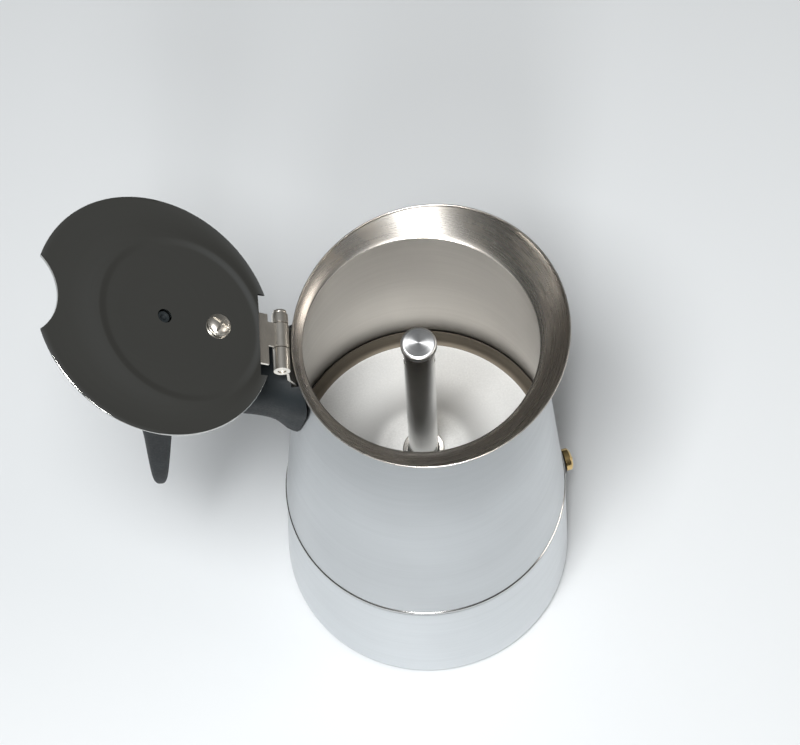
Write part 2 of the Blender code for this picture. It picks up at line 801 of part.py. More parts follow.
def along_y(name, radius, hole_radius, y_from, y_to, steps, phase=0.0):
    """A tube or, with no hole, a rod along Y at the origin."""
    if hole_radius:
        profile = [(radius, y_to), (radius, y_from), (hole_radius, y_from), (hole_radius, y_to)]
    else:
        profile = rod_profile(radius, y_from, y_to)
    mesh = turned_mesh(name, profile, steps)
    mesh.transform(Matrix.Rotation(-math.pi / 2, 4, "X") @ Matrix.Rotation(phase, 4, "Z"))
    return mesh


def build_hinge(lid_frame):
    """Both leaves and the pin. The lid's leaf is made closed and turned open by its frame."""
    half = HINGE_LENGTH / 2
    bore = HINGE_PIN_RADIUS + PIN_GAP
    place = Matrix.Translation((-HINGE_OFFSET, 0.0, HINGE_HEIGHT))

    body_x = -body_radius(WAIST_HEIGHT - 4 * MM) - GAP - LEAF_THICKNESS / 2
    low_x = -body_radius(BRACKET_TOP) - GAP - LEAF_THICKNESS / 2
    rim_x = RIM_OFFSET - RIM_LENGTH / 2 - RIM_BEAD - GAP - LEAF_THICKNESS / 2
    inset = 0.15 * MM
    line = [
        (low_x, BRACKET_TOP + GAP),
        (body_x, WAIST_HEIGHT - 4.5 * MM),
        (rim_x - 0.2 * MM, WAIST_HEIGHT - 0.8 * MM),
        (rim_x - 0.2 * MM, HINGE_HEIGHT - 2.6 * MM),
        (-HINGE_OFFSET - 0.2 * MM, HINGE_HEIGHT - 0.5 * (KNUCKLE_RADIUS + bore)),
    ]
    leaf = add_object(
        "hinge_leaf_pot",
        strip_mesh("hinge_leaf_pot", line, LEAF_THICKNESS, -half + inset, half - inset),
        "polished_steel",
    )
    clear = KNUCKLE_RADIUS + SLIDE_GAP
    turn = CUT_PHASE * 2 * math.pi / SMALL_STEPS
    gap_from = LID_KNUCKLE_FROM - GAP
    gap_to = LID_KNUCKLE_TO + GAP
    spare = 0.05 * MM
    opening = along_y(
        "leaf_opening", clear, 0.0, gap_from - spare, gap_to + spare, SMALL_STEPS, turn
    )
    opening.transform(place)
    cut(leaf, "leaf_opening", opening)
    for name, y_from, y_to in (
        ("knuckle_low", -half, gap_from),
        ("knuckle_high", gap_to, half),
    ):
        knuckle = along_y(name, KNUCKLE_RADIUS, 0.0, y_from, y_to, SMALL_STEPS)
        knuckle.transform(place)
        join(leaf, name, knuckle)
    tunnel = along_y("leaf_bore", bore, 0.0, -half - 1 * MM, half + 1 * MM, SMALL_STEPS)
    tunnel.transform(place)
    cut(leaf, "leaf_bore", tunnel)

    pin_mesh = along_y("hinge_pin", HINGE_PIN_RADIUS, 0.0, -half + GAP, half + 1 * MM, SMALL_STEPS)
    pin = add_object("hinge_pin", pin_mesh, "polished_steel")
    pin.location = (-HINGE_OFFSET, 0.0, HINGE_HEIGHT)
    head_radius = KNUCKLE_RADIUS - 0.4 * MM
    head = along_y("pin_head", head_radius, 0.0, half + GAP, half + 1.2 * MM, SMALL_STEPS)
    helper = join(pin, "pin_head", head)
    helper.location = pin.location

    top = -LID_DROP + LID_THICKNESS + LID_DISH_HEIGHT + GAP
    plate = box_mesh(
        "hinge_leaf_lid",
        (KNUCKLE_RADIUS + 2.2 * MM, -half + 1 * MM, top),
        (LID_SCREW_AT + 4.5 * MM, half - 1 * MM, top + LEAF_THICKNESS),
    )
    lid_leaf = add_object("hinge_leaf_lid", plate, "polished_steel")
    tongue = join(
        lid_leaf,
        "leaf_tongue",
        box_mesh(
            "leaf_tongue",
            (0.0, LID_KNUCKLE_FROM, top),
            (KNUCKLE_RADIUS + 3 * MM, LID_KNUCKLE_TO, top + LEAF_THICKNESS),
        ),
    )
    knuckle = join(
        lid_leaf,
        "knuckle_lid",
        along_y("knuckle_lid", KNUCKLE_RADIUS, 0.0, LID_KNUCKLE_FROM, LID_KNUCKLE_TO, SMALL_STEPS),
    )
    tunnel = cut(
        lid_leaf,
        "knuckle_bore",
        along_y("knuckle_bore", bore, 0.0, -half, half, SMALL_STEPS),
    )
    hole = drill(
        lid_leaf, "leaf_hole", LID_SCREW_RADIUS + GAP, -LID_DROP, 0.0, LID_SCREW_AT, steps=SMALL_STEPS
    )
    for obj in (lid_leaf, tongue, knuckle, tunnel, hole):
        obj.parent = lid_frame


def round_ring(radius, centre, height):
    ring = []
    for i in range(SHELL_STEPS):
        turn = 2 * math.pi * i / SHELL_STEPS
        ring.append((centre + radius * math.cos(turn), radius * math.sin(turn), height))
    return ring


def build_lid(lid_frame):
    """Made closed in the frame of the hinge pin, then turned open by that frame."""
    under = -LID_DROP
    over = under + LID_THICKNESS
    dish = LID_DISH_HEIGHT
    rings = [
        round_ring(LID_DISH_RADIUS - LID_DISH_SLOPE, LID_DISH_CENTRE, under + dish),
        round_ring(LID_DISH_RADIUS, LID_DISH_CENTRE, under),
        round_ring(LID_RADIUS, LID_CENTRE, under),
        round_ring(LID_RADIUS, LID_CENTRE, over),
        round_ring(LID_DISH_RADIUS + 0.3 * MM, LID_DISH_CENTRE, over),
        round_ring(LID_DISH_RADIUS - LID_DISH_SLOPE + 0.3 * MM, LID_DISH_CENTRE, over + dish),
    ]
    lid = add_object("lid", loft_mesh("lid", rings, False), "polished_steel")
    width = LID_HINGE_CUT_WIDTH / 2
    hinge_cut = box_mesh(
        "hinge_cut", (-2 * MM, -width, -9 * MM), (LID_HINGE_CUT, width, 9 * MM)
    )
    helpers = [lid, cut(lid, "hinge_cut", hinge_cut)]
    far_edge = LID_CENTRE + LID_RADIUS
    helpers.append(
        drill(
            lid,
            "pouring_notch",
            LID_NOTCH_RADIUS,
            -9 * MM,
            9 * MM,
            far_edge - LID_NOTCH_DEPTH + LID_NOTCH_RADIUS,
            steps=SHELL_STEPS,
        )
    )
    helpers.append(
        drill(lid, "screw_hole", LID_SCREW_RADIUS + GAP, -9 * MM, 9 * MM, LID_SCREW_AT, steps=SMALL_STEPS)
    )
    helpers.append(
        drill(lid, "peg_hole", LID_PEG_RADIUS + GAP, -9 * MM, 9 * MM, LID_PEG_AT, steps=SMALL_STEPS)
    )
    for obj in helpers:
        obj.parent = lid_frame


def knob_ring(height, share):
    """A rounded bar's outline. It narrows as share goes from 0 at the lid to 1 at the top."""
    length = KNOB_LENGTH * (1 - 0.16 * share) / 2
    width = KNOB_WIDTH * (1 - 0.30 * share) / 2
    centre = 0.5 * (LID_SCREW_AT + LID_PEG_AT) + 1.5 * MM * share
    ring = []
    for i in range(SMALL_STEPS):
        turn = 2 * math.pi * i / SMALL_STEPS
        along = math.copysign(abs(math.cos(turn)) ** 0.5, math.cos(turn))
        across = math.copysign(abs(math.sin(turn)) ** 0.5, math.sin(turn))
        ring.append((centre + length * along, width * across, height))
    return ring


def build_knob(lid_frame):
    low = -LID_DROP + LID_THICKNESS + LID_DISH_HEIGHT + LEAF_THICKNESS + 2 * GAP
    rings = [
        knob_ring(low, 0.0),
        knob_ring(low + 0.55 * KNOB_HEIGHT, 0.5),
        knob_ring(low + 0.9 * KNOB_HEIGHT, 0.8),
        knob_ring(low + KNOB_HEIGHT, 1.6),
    ]
    knob = add_object("lid_knob", loft_mesh("lid_knob", rings, False), "black_plastic")
    under = -LID_DROP + LID_DISH_HEIGHT
    peg = join(
        knob,
        "knob_peg",
        turned_mesh("knob_peg", rod_profile(LID_PEG_RADIUS, under, low + 1 * MM), SMALL_STEPS),
    )
    peg.location = (LID_PEG_AT, 0.0, 0.0)
    depth = 7 * MM
    pilot = drill(
        knob,
        "knob_pilot",
        LID_SCREW_RADIUS + GAP,
        low - 1 * MM,
        low + depth + GAP,
        LID_SCREW_AT,
        steps=SMALL_STEPS,
    )
    head_top = under - GAP
    screw = turned(
        "knob_screw",
        [
            (0.0, low + depth),
            (LID_SCREW_RADIUS, low + depth),
            (LID_SCREW_RADIUS, head_top),
            (LID_SCREW_HEAD, head_top),
            (LID_SCREW_HEAD, head_top - 0.7 * MM),
            (0.75 * LID_SCREW_HEAD, head_top - 1.6 * MM),
            (0.4 * LID_SCREW_HEAD, head_top - 2.0 * MM),
            (0.0, head_top - 2.1 * MM),
        ],
        SMALL_STEPS,
        "polished_steel",
    )
    screw.location = (LID_SCREW_AT, 0.0, 0.0)
    for obj in (knob, peg, pilot, screw):
        obj.parent = lid_frame


def handle_ring(x, z, lean, half_height, half_width_top, half_width_low):
    """A rounded section of the handle. Lean 0 faces -X and lean 90 faces down."""
    turn_down = math.radians(lean)
    ring = []
    for i in range(SMALL_STEPS):
        turn = 2 * math.pi * i / SMALL_STEPS
        up = math.copysign(abs(math.sin(turn)) ** 0.62, math.sin(turn))
        side = math.copysign(abs(math.cos(turn)) ** 0.62, math.cos(turn))
        width = half_width_low + (half_width_top - half_width_low) * (up + 1) / 2
        offset = half_height * up
        ring.append((x - offset * math.sin(turn_down), side * width, z + offset * math.cos(turn_down)))
    return ring


def build_handle():
    root = HANDLE_ROOT_WIDTH / 2
    arm = HANDLE_ARM_WIDTH / 2
    top = HANDLE_ROOT_TOP
    half = HANDLE_ROOT_HEIGHT / 2
    near = body_radius(top)
    reach = HANDLE_REACH
    foot = HANDLE_FOOT
    drop = top - foot
    sections = [
        (-near + 5 * MM, top - half, 0, half, 1.12 * root, 0.62 * root),
        (-near - 3.5 * MM, top - half, 0, half, 0.95 * root, 0.55 * root),
        (-near - 8.5 * MM, top - 0.76 * half, 0, 0.72 * half, 0.78 * root, 0.55 * root),
        (-near - 14 * MM, top - 0.67 * half, 0, 0.56 * half, 0.68 * root, 0.56 * root),
        (-near - 21 * MM, top - 0.64 * half, 0, 0.48 * half, 1.1 * arm, arm),
        (-reach + 20 * MM, top - 0.68 * half, 6, 0.45 * half, arm, 0.96 * arm),
        (-reach + 12.5 * MM, top - 0.80 * half, 26, 0.43 * half, 0.97 * arm, 0.94 * arm),
        (-reach + 7.3 * MM, top - 1.06 * half, 52, 0.37 * half, 0.94 * arm, 0.92 * arm),
        (-reach + 4.5 * MM, top - 0.37 * drop, 76, 0.27 * half, 0.9 * arm, 0.9 * arm),
        (-reach + 3.3 * MM, top - 0.52 * drop, 84, 0.22 * half, 0.84 * arm, 0.84 * arm),
        (-reach + 1.9 * MM, top - 0.71 * drop, 84, 0.18 * half, 0.78 * arm, 0.78 * arm),
        (-reach + 0.8 * MM, top - 0.86 * drop, 86, 0.145 * half, 0.68 * arm, 0.68 * arm),
        (-reach + 0.2 * MM, top - 0.95 * drop, 88, 0.11 * half, 0.5 * arm, 0.5 * arm),
        (-reach, top - drop, 90, 0.05 * half, 0.3 * arm, 0.3 * arm),
    ]
    rings = [handle_ring(*section) for section in sections]
    handle = add_object("handle", loft_mesh("handle", rings, False), "black_plastic")

    low = BRACKET_FOOT - 12 * MM
    high = WAIST_HEIGHT
    saddle = [
        (0.0, high),
        (body_radius(high) + GAP, high),
        (body_radius(low) + GAP, low),
        (0.0, low),
    ]
    cut(handle, "handle_saddle", turned_mesh("handle_saddle", saddle, SHELL_STEPS))

    pocket_depth = 4 * GAP + LEAF_THICKNESS
    pocket_low = BRACKET_FOOT - 8 * MM
    pocket_high = WAIST_HEIGHT + 2 * MM
    pocket_half = HINGE_LENGTH / 2 + GAP
    pocket_line = [
        (-body_radius(pocket_low) - pocket_depth + 2 * MM, pocket_low),
        (-body_radius(pocket_high) - pocket_depth + 2 * MM, pocket_high),
    ]
    cut(
        handle,
        "handle_pocket",
        strip_mesh("handle_pocket", pocket_line, 4 * MM, -pocket_half, pocket_half),
    )

    bracket_line = []
    for height in (BRACKET_FOOT, BRACKET_TOP):
        bracket_line.append((-body_radius(height) - GAP - LEAF_THICKNESS / 2, height))
    bracket = add_object(
        "handle_bracket",
        strip_mesh(
            "handle_bracket", bracket_line, LEAF_THICKNESS, -BRACKET_WIDTH / 2, BRACKET_WIDTH / 2
        ),
        "polished_steel",
    )

    start = -body_radius(HANDLE_SCREW_HEIGHT) - GAP
    head = start - 4.6 * MM
    shaft = turned_mesh(
        "handle_screw",
        [
            (0.0, head - HANDLE_SCREW_HEAD_HEIGHT),
            (0.6 * HANDLE_SCREW_HEAD, head - HANDLE_SCREW_HEAD_HEIGHT),
            (HANDLE_SCREW_HEAD, head - 0.5 * HANDLE_SCREW_HEAD_HEIGHT),
            (HANDLE_SCREW_HEAD, head),
            (HANDLE_SCREW_RADIUS, head),
            (HANDLE_SCREW_RADIUS, start - 0.1 * MM),
            (0.0, start - 0.1 * MM),
        ],
        SMALL_STEPS,
    )
    shaft.transform(Matrix.Rotation(math.pi / 2, 4, "Y"))
    screw = add_object("handle_screw", shaft, "polished_steel")
    screw.location = (0.0, 0.0, HANDLE_SCREW_HEIGHT)

    def bore(name, radius, x_from, x_to, target):
        mesh = turned_mesh(name, rod_profile(radius, x_from, x_to), SMALL_STEPS)
        mesh.transform(Matrix.Rotation(math.pi / 2, 4, "Y"))
        cutter = cut(target, name, mesh)
        cutter.location = (0.0, 0.0, HANDLE_SCREW_HEIGHT)

    bore("bracket_hole", HANDLE_SCREW_RADIUS + GAP, start - 3 * MM, start + 3 * MM, bracket)
    bore("handle_hole", HANDLE_SCREW_RADIUS + GAP, head - 3 * MM, start + 3 * MM, handle)
    gap_middle = -0.5 * (near + reach)
    bore("handle_counterbore", HANDLE_SCREW_HEAD + GAP, gap_middle, head + GAP, handle)


def main():
    boiler = build_boiler()
    build_valve(boiler)
    build_filters()
    build_collar()
    build_upper_shell()
    build_floor()
    build_column()
    lid_frame = bpy.data.objects.new("lid_frame", None)
    PARTS.objects.link(lid_frame)
    lid_frame.location = (-HINGE_OFFSET, 0.0, HINGE_HEIGHT)
    lid_frame.rotation_euler = (0.0, -math.radians(LID_OPEN_DEGREES), 0.0)
    build_hinge(lid_frame)
    build_lid(lid_frame)
    build_knob(lid_frame)
    build_handle()


clear_scene()
PARTS = make_collection("moka_pot", False)
CUTTERS = make_collection("cutters", True)
main()
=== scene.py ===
"""Looks of a stovetop moka pot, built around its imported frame.

Laid out as an add-on: settings, one operator per group of pieces, a panel and
register(). Run as a script, it builds every piece and then the stage, in order.
"""

import math

import bmesh
import bpy
from bpy.props import FloatProperty, FloatVectorProperty, IntProperty, PointerProperty
from mathutils import Matrix, Vector


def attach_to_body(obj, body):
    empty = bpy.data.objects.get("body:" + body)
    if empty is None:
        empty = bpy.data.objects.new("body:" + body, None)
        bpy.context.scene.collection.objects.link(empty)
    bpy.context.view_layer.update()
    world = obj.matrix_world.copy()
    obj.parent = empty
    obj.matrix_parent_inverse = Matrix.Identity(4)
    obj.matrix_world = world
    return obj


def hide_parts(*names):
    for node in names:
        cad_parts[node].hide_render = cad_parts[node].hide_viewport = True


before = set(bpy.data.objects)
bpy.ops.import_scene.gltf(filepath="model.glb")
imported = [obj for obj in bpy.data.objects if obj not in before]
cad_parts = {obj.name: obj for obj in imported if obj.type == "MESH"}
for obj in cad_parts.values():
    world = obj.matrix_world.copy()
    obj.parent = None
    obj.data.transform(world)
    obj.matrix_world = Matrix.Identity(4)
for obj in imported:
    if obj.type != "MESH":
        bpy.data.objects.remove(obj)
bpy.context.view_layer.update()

bl_info = {
    "name": "Moka Pot",
    "version": (1, 0, 0),
    "blender": (4, 5, 0),
    "location": "View3D > Sidebar > Moka Pot",
    "description": "Builds the visible pieces of a stovetop moka pot round its frame",
    "category": "Object",
}

MM = 0.001

# Sizes that the visible pieces share with the solids they stand for
BASE_RADIUS = 49.5 * MM
SEAM_RADIUS = 47.0 * MM
SEAM_HEIGHT = 52.0 * MM
NECK_RADIUS = 39.4 * MM
NECK_TOP = 62.0 * MM
BOILER_WALL = 1.0 * MM
GAP = 0.3 * MM
WAIST_RADIUS = 36.5 * MM
WAIST_OFFSET = 0.8 * MM
WAIST_HEIGHT = 160.2 * MM
RIM_LENGTH = 83.2 * MM
RIM_WIDTH = 86.8 * MM
RIM_OFFSET = 3.6 * MM
RIM_HEIGHT = 166.1 * MM
RIM_SLOPE = 0.095
FLARE_POWER = 1.2
UPPER_WALL = 0.8 * MM
SEAM_BEAD = 0.35 * MM
SEAM_BEAD_HEIGHT = 1.4 * MM
FLOOR_HEIGHT = 77.2 * MM
FLOOR_RADIUS = 39.7 * MM
FLOOR_RISE = 3.4 * MM
FLOOR_WALL = 0.8 * MM
FLOOR_LIP = 4.0 * MM
COLUMN_RADIUS = 4.8 * MM
COLUMN_WALL = 0.9 * MM
COLUMN_TOP = 157.4 * MM
COLUMN_FOOT = 73.5 * MM
OUTLET_RADIUS = 1.8 * MM
OUTLET_HEIGHT = 150.4 * MM
CAP_RADIUS = 5.5 * MM
CAP_THICKNESS = 2.8 * MM
RING_RADIUS = 6.8 * MM
THREAD_PITCH = 4.0 * MM
THREAD_START = 54.6 * MM
THREAD_TURNS = 1.25
THREAD_HEIGHT = 1.1 * MM
HINGE_OFFSET = 41.0 * MM
HINGE_HEIGHT = 166.1 * MM
HINGE_LENGTH = 18.6 * MM
LID_OPEN_DEGREES = 148.7
LID_RADIUS = 38.0 * MM
LID_CENTRE = 42.0 * MM
LID_THICKNESS = 0.8 * MM
LID_DROP = 3.3 * MM
DISH_RADIUS = 26.5 * MM
DISH_CENTRE = 33.9 * MM
DISH_HEIGHT = 1.1 * MM
DISH_SLOPE = 2.8 * MM
HINGE_CUT = 8.7 * MM
HINGE_CUT_WIDTH = 26.6 * MM
NOTCH_RADIUS = 15.5 * MM
NOTCH_DEPTH = 7.2 * MM
SCREW_AT = 22.1 * MM
PEG_AT = 39.4 * MM
SCREW_RADIUS = 1.6 * MM
SCREW_HEAD = 3.6 * MM
PEG_RADIUS = 1.9 * MM
LEAF_THICKNESS = 0.8 * MM
KNOB_HEIGHT = 15.0 * MM
KNOB_WIDTH = 9.0 * MM
KNOB_LENGTH = 27.0 * MM
HANDLE_ROOT_TOP = 156.5 * MM
HANDLE_ROOT_HEIGHT = 41.0 * MM
HANDLE_ROOT_WIDTH = 33.0 * MM
HANDLE_ARM_WIDTH = 18.0 * MM
HANDLE_REACH = 87.0 * MM
HANDLE_FOOT = 73.0 * MM
BRACKET_FOOT = 119.0 * MM

# Details that only the visible pieces have
BASE_SHEET = 1.5 * MM
BASE_GROOVE_RADIUS = 37.0 * MM
BASE_GROOVE_DEPTH = 0.5 * MM
THREAD_STEPS = 72
SEAM_GROOVE = 0.14 * MM
RIM_THINNING = 0.45
# Outwards and upwards from the rim's outer edge, round the rolled lip
RIM_ROLL = (
    (0.10 * MM, 0.08 * MM),
    (0.20 * MM, 0.26 * MM),
    (0.17 * MM, 0.46 * MM),
    (0.04 * MM, 0.58 * MM),
    (-0.14 * MM, 0.60 * MM),
    (-0.30 * MM, 0.50 * MM),
    (-0.39 * MM, 0.30 * MM),
)
PIECE_STEPS = 64
LID_STEPS = 160
LID_EDGE = 0.25 * MM
LID_CREASE = 0.3 * MM
CUTTER_REACH = 9 * MM
SLOT_HALF_WIDTH = 0.42 * MM
SLOT_DEPTH = 1.35 * MM

# Name, place, width and height, and colour of each light. Its power is a setting
LIGHTS = (
    ("key", (-0.11, -0.27, 0.92), (0.24, 0.24), (1.0, 0.995, 0.99)),
    ("front", (-0.10, -1.08, 0.98), (0.2, 0.6), (1.0, 1.0, 1.0)),
    ("side", (1.15, -0.10, 0.62), (0.6, 0.24), (1.0, 0.93, 0.86)),
)
LIGHTS_AIM = (0.0, 0.0, 0.1)
# Height as a share of the sky, and its colour, as reflections see it
SKY = (
    (0.0, (0.060, 0.060, 0.057)),
    (0.35, (0.070, 0.070, 0.067)),
    (0.52, (0.085, 0.086, 0.083)),
    (0.75, (0.13, 0.134, 0.137)),
    (1.0, (0.17, 0.176, 0.18)),
)
BACKDROP = (0.66, 0.70, 0.73, 1.0)
VIEW_TARGET = (-6.13 * MM, 0.0, 140.4 * MM)
SENSOR_WIDTH = 36.0
TABLE_HALF_WIDTH = 4.0

LID_FRAME = Matrix.Translation((-HINGE_OFFSET, 0.0, HINGE_HEIGHT)) @ Matrix.Rotation(
    -math.radians(LID_OPEN_DEGREES), 4, "Y"
)


# ---------------------------------------------------------------- settings


class VesselSettings(bpy.types.PropertyGroup):
    steps: IntProperty(
        name="Steps",
        description="Divisions round each vessel",
        default=144,
        min=48,
        max=256,
    )
    steel: FloatVectorProperty(
        name="Outer steel",
        description="Colour of the brushed steel outside",
        subtype="COLOR",
        default=(0.56, 0.58, 0.595),
    )
    warm_steel: FloatVectorProperty(
        name="Inner steel",
        description="Colour of the satin steel inside the upper vessel",
        subtype="COLOR",
        default=(0.60, 0.57, 0.53),
    )
    blasted_steel: FloatVectorProperty(
        name="Blasted steel",
        description="Colour of the matt floor round the column",
        subtype="COLOR",
        default=(0.88, 0.89, 0.88),
    )


class LidSettings(bpy.types.PropertyGroup):
    crown: FloatProperty(
        name="Crown",
        description="How far the sheet between the dish and the edge bulges",
        subtype="DISTANCE",
        unit="LENGTH",
        default=0.25 * MM,
    )
    dish: FloatProperty(
        name="Dish",
        description="How far the round dish stands out of the sheet",
        subtype="DISTANCE",
        unit="LENGTH",
        default=0.3 * MM,
    )
    mirror: FloatVectorProperty(
        name="Mirror",
        description="Colour of the polished sheet",
        subtype="COLOR",
        default=(0.60, 0.60, 0.58),
    )


class HandleSettings(bpy.types.PropertyGroup):
    plastic: FloatVectorProperty(
        name="Plastic",
        description="Colour of the moulded handle and knob",
        subtype="COLOR",
        default=(0.010, 0.0125, 0.014),
    )
    grain: FloatProperty(
        name="Grain",
        description="Depth of the moulded grain",
        subtype="DISTANCE",
        unit="LENGTH",
        default=0.02 * MM,
    )


class ValveSettings(bpy.types.PropertyGroup):
    brass: FloatVectorProperty(
        name="Brass",
        description="Colour of the valve",
        subtype="COLOR",
        default=(0.74, 0.53, 0.24),
    )
    rubber: FloatVectorProperty(
        name="Washer",
        description="Colour of the valve's washer",
        subtype="COLOR",
        default=(0.022, 0.020, 0.018),
    )


class StageSettings(bpy.types.PropertyGroup):
    table: FloatVectorProperty(
        name="Table",
        description="Colour of the floor",
        subtype="COLOR",
        default=(0.78, 0.81, 0.83),
    )
    key_power: FloatProperty(
        name="Key light",
        description="Power of the large light overhead, in watts",
        default=7.5,
    )
    front_power: FloatProperty(
        name="Front light",
        description="Power of the upright light in front, in watts",
        default=6.0,
    )
    side_power: FloatProperty(
        name="Side light",
        description="Power of the warm light low on the pouring side, in watts",
        default=2.6,
    )
    view_distance: FloatProperty(
        name="View distance",
        description="From the camera to the pot's axis",
        subtype="DISTANCE",
        unit="LENGTH",
        default=0.8034,
    )
    view_elevation: FloatProperty(
        name="View elevation",
        description="Angle of the camera above the horizon",
        subtype="ANGLE",
        unit="ROTATION",
        default=math.radians(64.63),
    )
    view_roll: FloatProperty(
        name="View roll",
        description="Turn of the camera about its own line of sight",
        subtype="ANGLE",
        unit="ROTATION",
        default=math.radians(-3.743),
    )
    lens: FloatProperty(
        name="Lens",
        description="Focal length in millimetres on a 36 mm sensor",
        default=117.85,
    )


# ---------------------------------------------------------------- shader groups


def new_group(name, inputs, outputs):
    """An empty node group with float sockets, and its first and last nodes."""
    tree = bpy.data.node_groups.new(name, "ShaderNodeTree")
    for label, default in inputs:
        socket = tree.interface.new_socket(label, in_out="INPUT", socket_type="NodeSocketFloat")
        socket.default_value = default
    for label in outputs:
        tree.interface.new_socket(label, in_out="OUTPUT", socket_type="NodeSocketFloat")
    return tree, tree.nodes.new("NodeGroupInput"), tree.nodes.new("NodeGroupOutput")


def attach(tree, value, target):
    """Links a socket to an input, or sets the input to a number."""
    if isinstance(value, bpy.types.NodeSocket):
        tree.links.new(value, target)
    else:
        target.default_value = value


def maths(tree, operation, *operands):
    """A Math node. Each operand is a socket or a number."""
    node = tree.nodes.new("ShaderNodeMath")
    node.operation = operation
    for i, value in enumerate(operands):
        attach(tree, value, node.inputs[i])
    return node.outputs[0]


def times(tree, first, second):
    return maths(tree, "MULTIPLY", first, second)


def axes_of(tree, coordinates="Object"):
    """The three coordinates of a point, as sockets."""
    place = tree.nodes.new("ShaderNodeTexCoord")
    split = tree.nodes.new("ShaderNodeSeparateXYZ")
    tree.links.new(place.outputs[coordinates], split.inputs[0])
    return split.outputs


def span(tree, value, low, high, to_low, to_high, smooth=False):
    """A Map Range node from low..high to to_low..to_high."""
    node = tree.nodes.new("ShaderNodeMapRange")
    if smooth:
        node.interpolation_type = "SMOOTHSTEP"
    tree.links.new(value, node.inputs["Value"])
    node.inputs["From Min"].default_value = low
    node.inputs["From Max"].default_value = high
    node.inputs["To Min"].default_value = to_low
    node.inputs["To Max"].default_value = to_high
    return node.outputs["Result"]


def noise(tree, vector, scale, detail=3.0, rough=0.5):
    node = tree.nodes.new("ShaderNodeTexNoise")
    tree.links.new(vector, node.inputs["Vector"])
    attach(tree, scale, node.inputs["Scale"])
    node.inputs["Detail"].default_value = detail
    node.inputs["Roughness"].default_value = rough
    return node.outputs["Fac"]


def blend_colours(tree, share, first, second):
    """A Mix node on colours. Share is a socket, and each colour is a socket or a triple."""
    node = tree.nodes.new("ShaderNodeMix")
    node.data_type = "RGBA"
    tree.links.new(share, node.inputs["Factor"])
    for socket, colour in ((node.inputs[6], first), (node.inputs[7], second)):
        attach(tree, (*colour, 1.0) if isinstance(colour, tuple) else colour, socket)
    return node.outputs[2]


def turned_marks_group():
    """Fine lines round a turned or spun piece. Shade and Height vary from 0 to 1."""
    tree, given, result = new_group(
        "Turned Marks",
        (("Around", 30.0), ("Across", 2500.0), ("Centre", 0.0)),
        ("Shade", "Height"),
    )
    x, y, z = axes_of(tree)
    x = maths(tree, "SUBTRACT", x, given.outputs["Centre"])
    reach = maths(tree, "SQRT", maths(tree, "ADD", times(tree, x, x), times(tree, y, y)))
    along = maths(tree, "ADD", reach, z)
    joined = tree.nodes.new("ShaderNodeCombineXYZ")
    for i, (value, scale) in enumerate(((x, "Around"), (y, "Around"), (along, "Across"))):
        tree.links.new(times(tree, value, given.outputs[scale]), joined.inputs[i])
    fine = noise(tree, joined.outputs[0], 1.0, 4.0, 0.65)
    broad = noise(tree, joined.outputs[0], 0.18, 2.0, 0.5)
    both = maths(tree, "ADD", times(tree, fine, 0.65), times(tree, broad, 0.35))
    tree.links.new(span(tree, both, 0.3, 0.7, 0.0, 1.0), result.inputs["Shade"])
    tree.links.new(fine, result.inputs["Height"])
    return tree


def handling_group():
    """Large soft patches, and smaller smears inside them, as from hands and cloths."""
    tree, given, result = new_group("Handling Marks", (("Size", 30.0),), ("Patches", "Smears"))
    place = tree.nodes.new("ShaderNodeTexCoord")
    broad = noise(tree, place.outputs["Object"], given.outputs["Size"], 2.0, 0.5)
    finer = times(tree, given.outputs["Size"], 4.3)
    small = noise(tree, place.outputs["Object"], finer, 5.0, 0.6)
    patches = span(tree, broad, 0.38, 0.68, 0.0, 1.0, smooth=True)
    smears = times(tree, patches, span(tree, small, 0.45, 0.65, 0.0, 1.0))
    tree.links.new(patches, result.inputs["Patches"])
    tree.links.new(smears, result.inputs["Smears"])
    return tree


def grain_group():
    """An even fine grain, as of blasted steel or moulded plastic, with scattered specks."""
    tree, given, result = new_group("Fine Grain", (("Scale", 900.0),), ("Height", "Specks"))
    place = tree.nodes.new("ShaderNodeTexCoord")
    tree.links.new(
        noise(tree, place.outputs["Object"], given.outputs["Scale"], 3.0, 0.6),
        result.inputs["Height"],
    )
    cells = tree.nodes.new("ShaderNodeTexVoronoi")
    tree.links.new(place.outputs["Object"], cells.inputs["Vector"])
    tree.links.new(given.outputs["Scale"], cells.inputs["Scale"])
    tree.links.new(
        span(tree, cells.outputs["Distance"], 0.08, 0.3, 1.0, 0.0, smooth=True),
        result.inputs["Specks"],
    )
    return tree


GROUP_MAKERS = {
    "Turned Marks": turned_marks_group,
    "Handling Marks": handling_group,
    "Fine Grain": grain_group,
}


def place_group(tree, name, **values):
    """A node that uses the named group, which is built the first time it is asked for."""
    made = bpy.data.node_groups.get(name) or GROUP_MAKERS[name]()
    node = tree.nodes.new("ShaderNodeGroup")
    node.node_tree = made
    for label, value in values.items():
        node.inputs[label].default_value = value
    return node


# ---------------------------------------------------------------- materials


def start_material(name):
    material = bpy.data.materials.new(name)
    material.use_nodes = True
    tree = material.node_tree
    return material, tree, tree.nodes["Principled BSDF"]


def bump(tree, shader, height, distance, strength=1.0):
    node = tree.nodes.new("ShaderNodeBump")
    node.inputs["Strength"].default_value = strength
    node.inputs["Distance"].default_value = distance
    tree.links.new(height, node.inputs["Height"])
    tree.links.new(node.outputs["Normal"], shader.inputs["Normal"])


def scaled(colour, share):
    return tuple(channel * share for channel in colour)


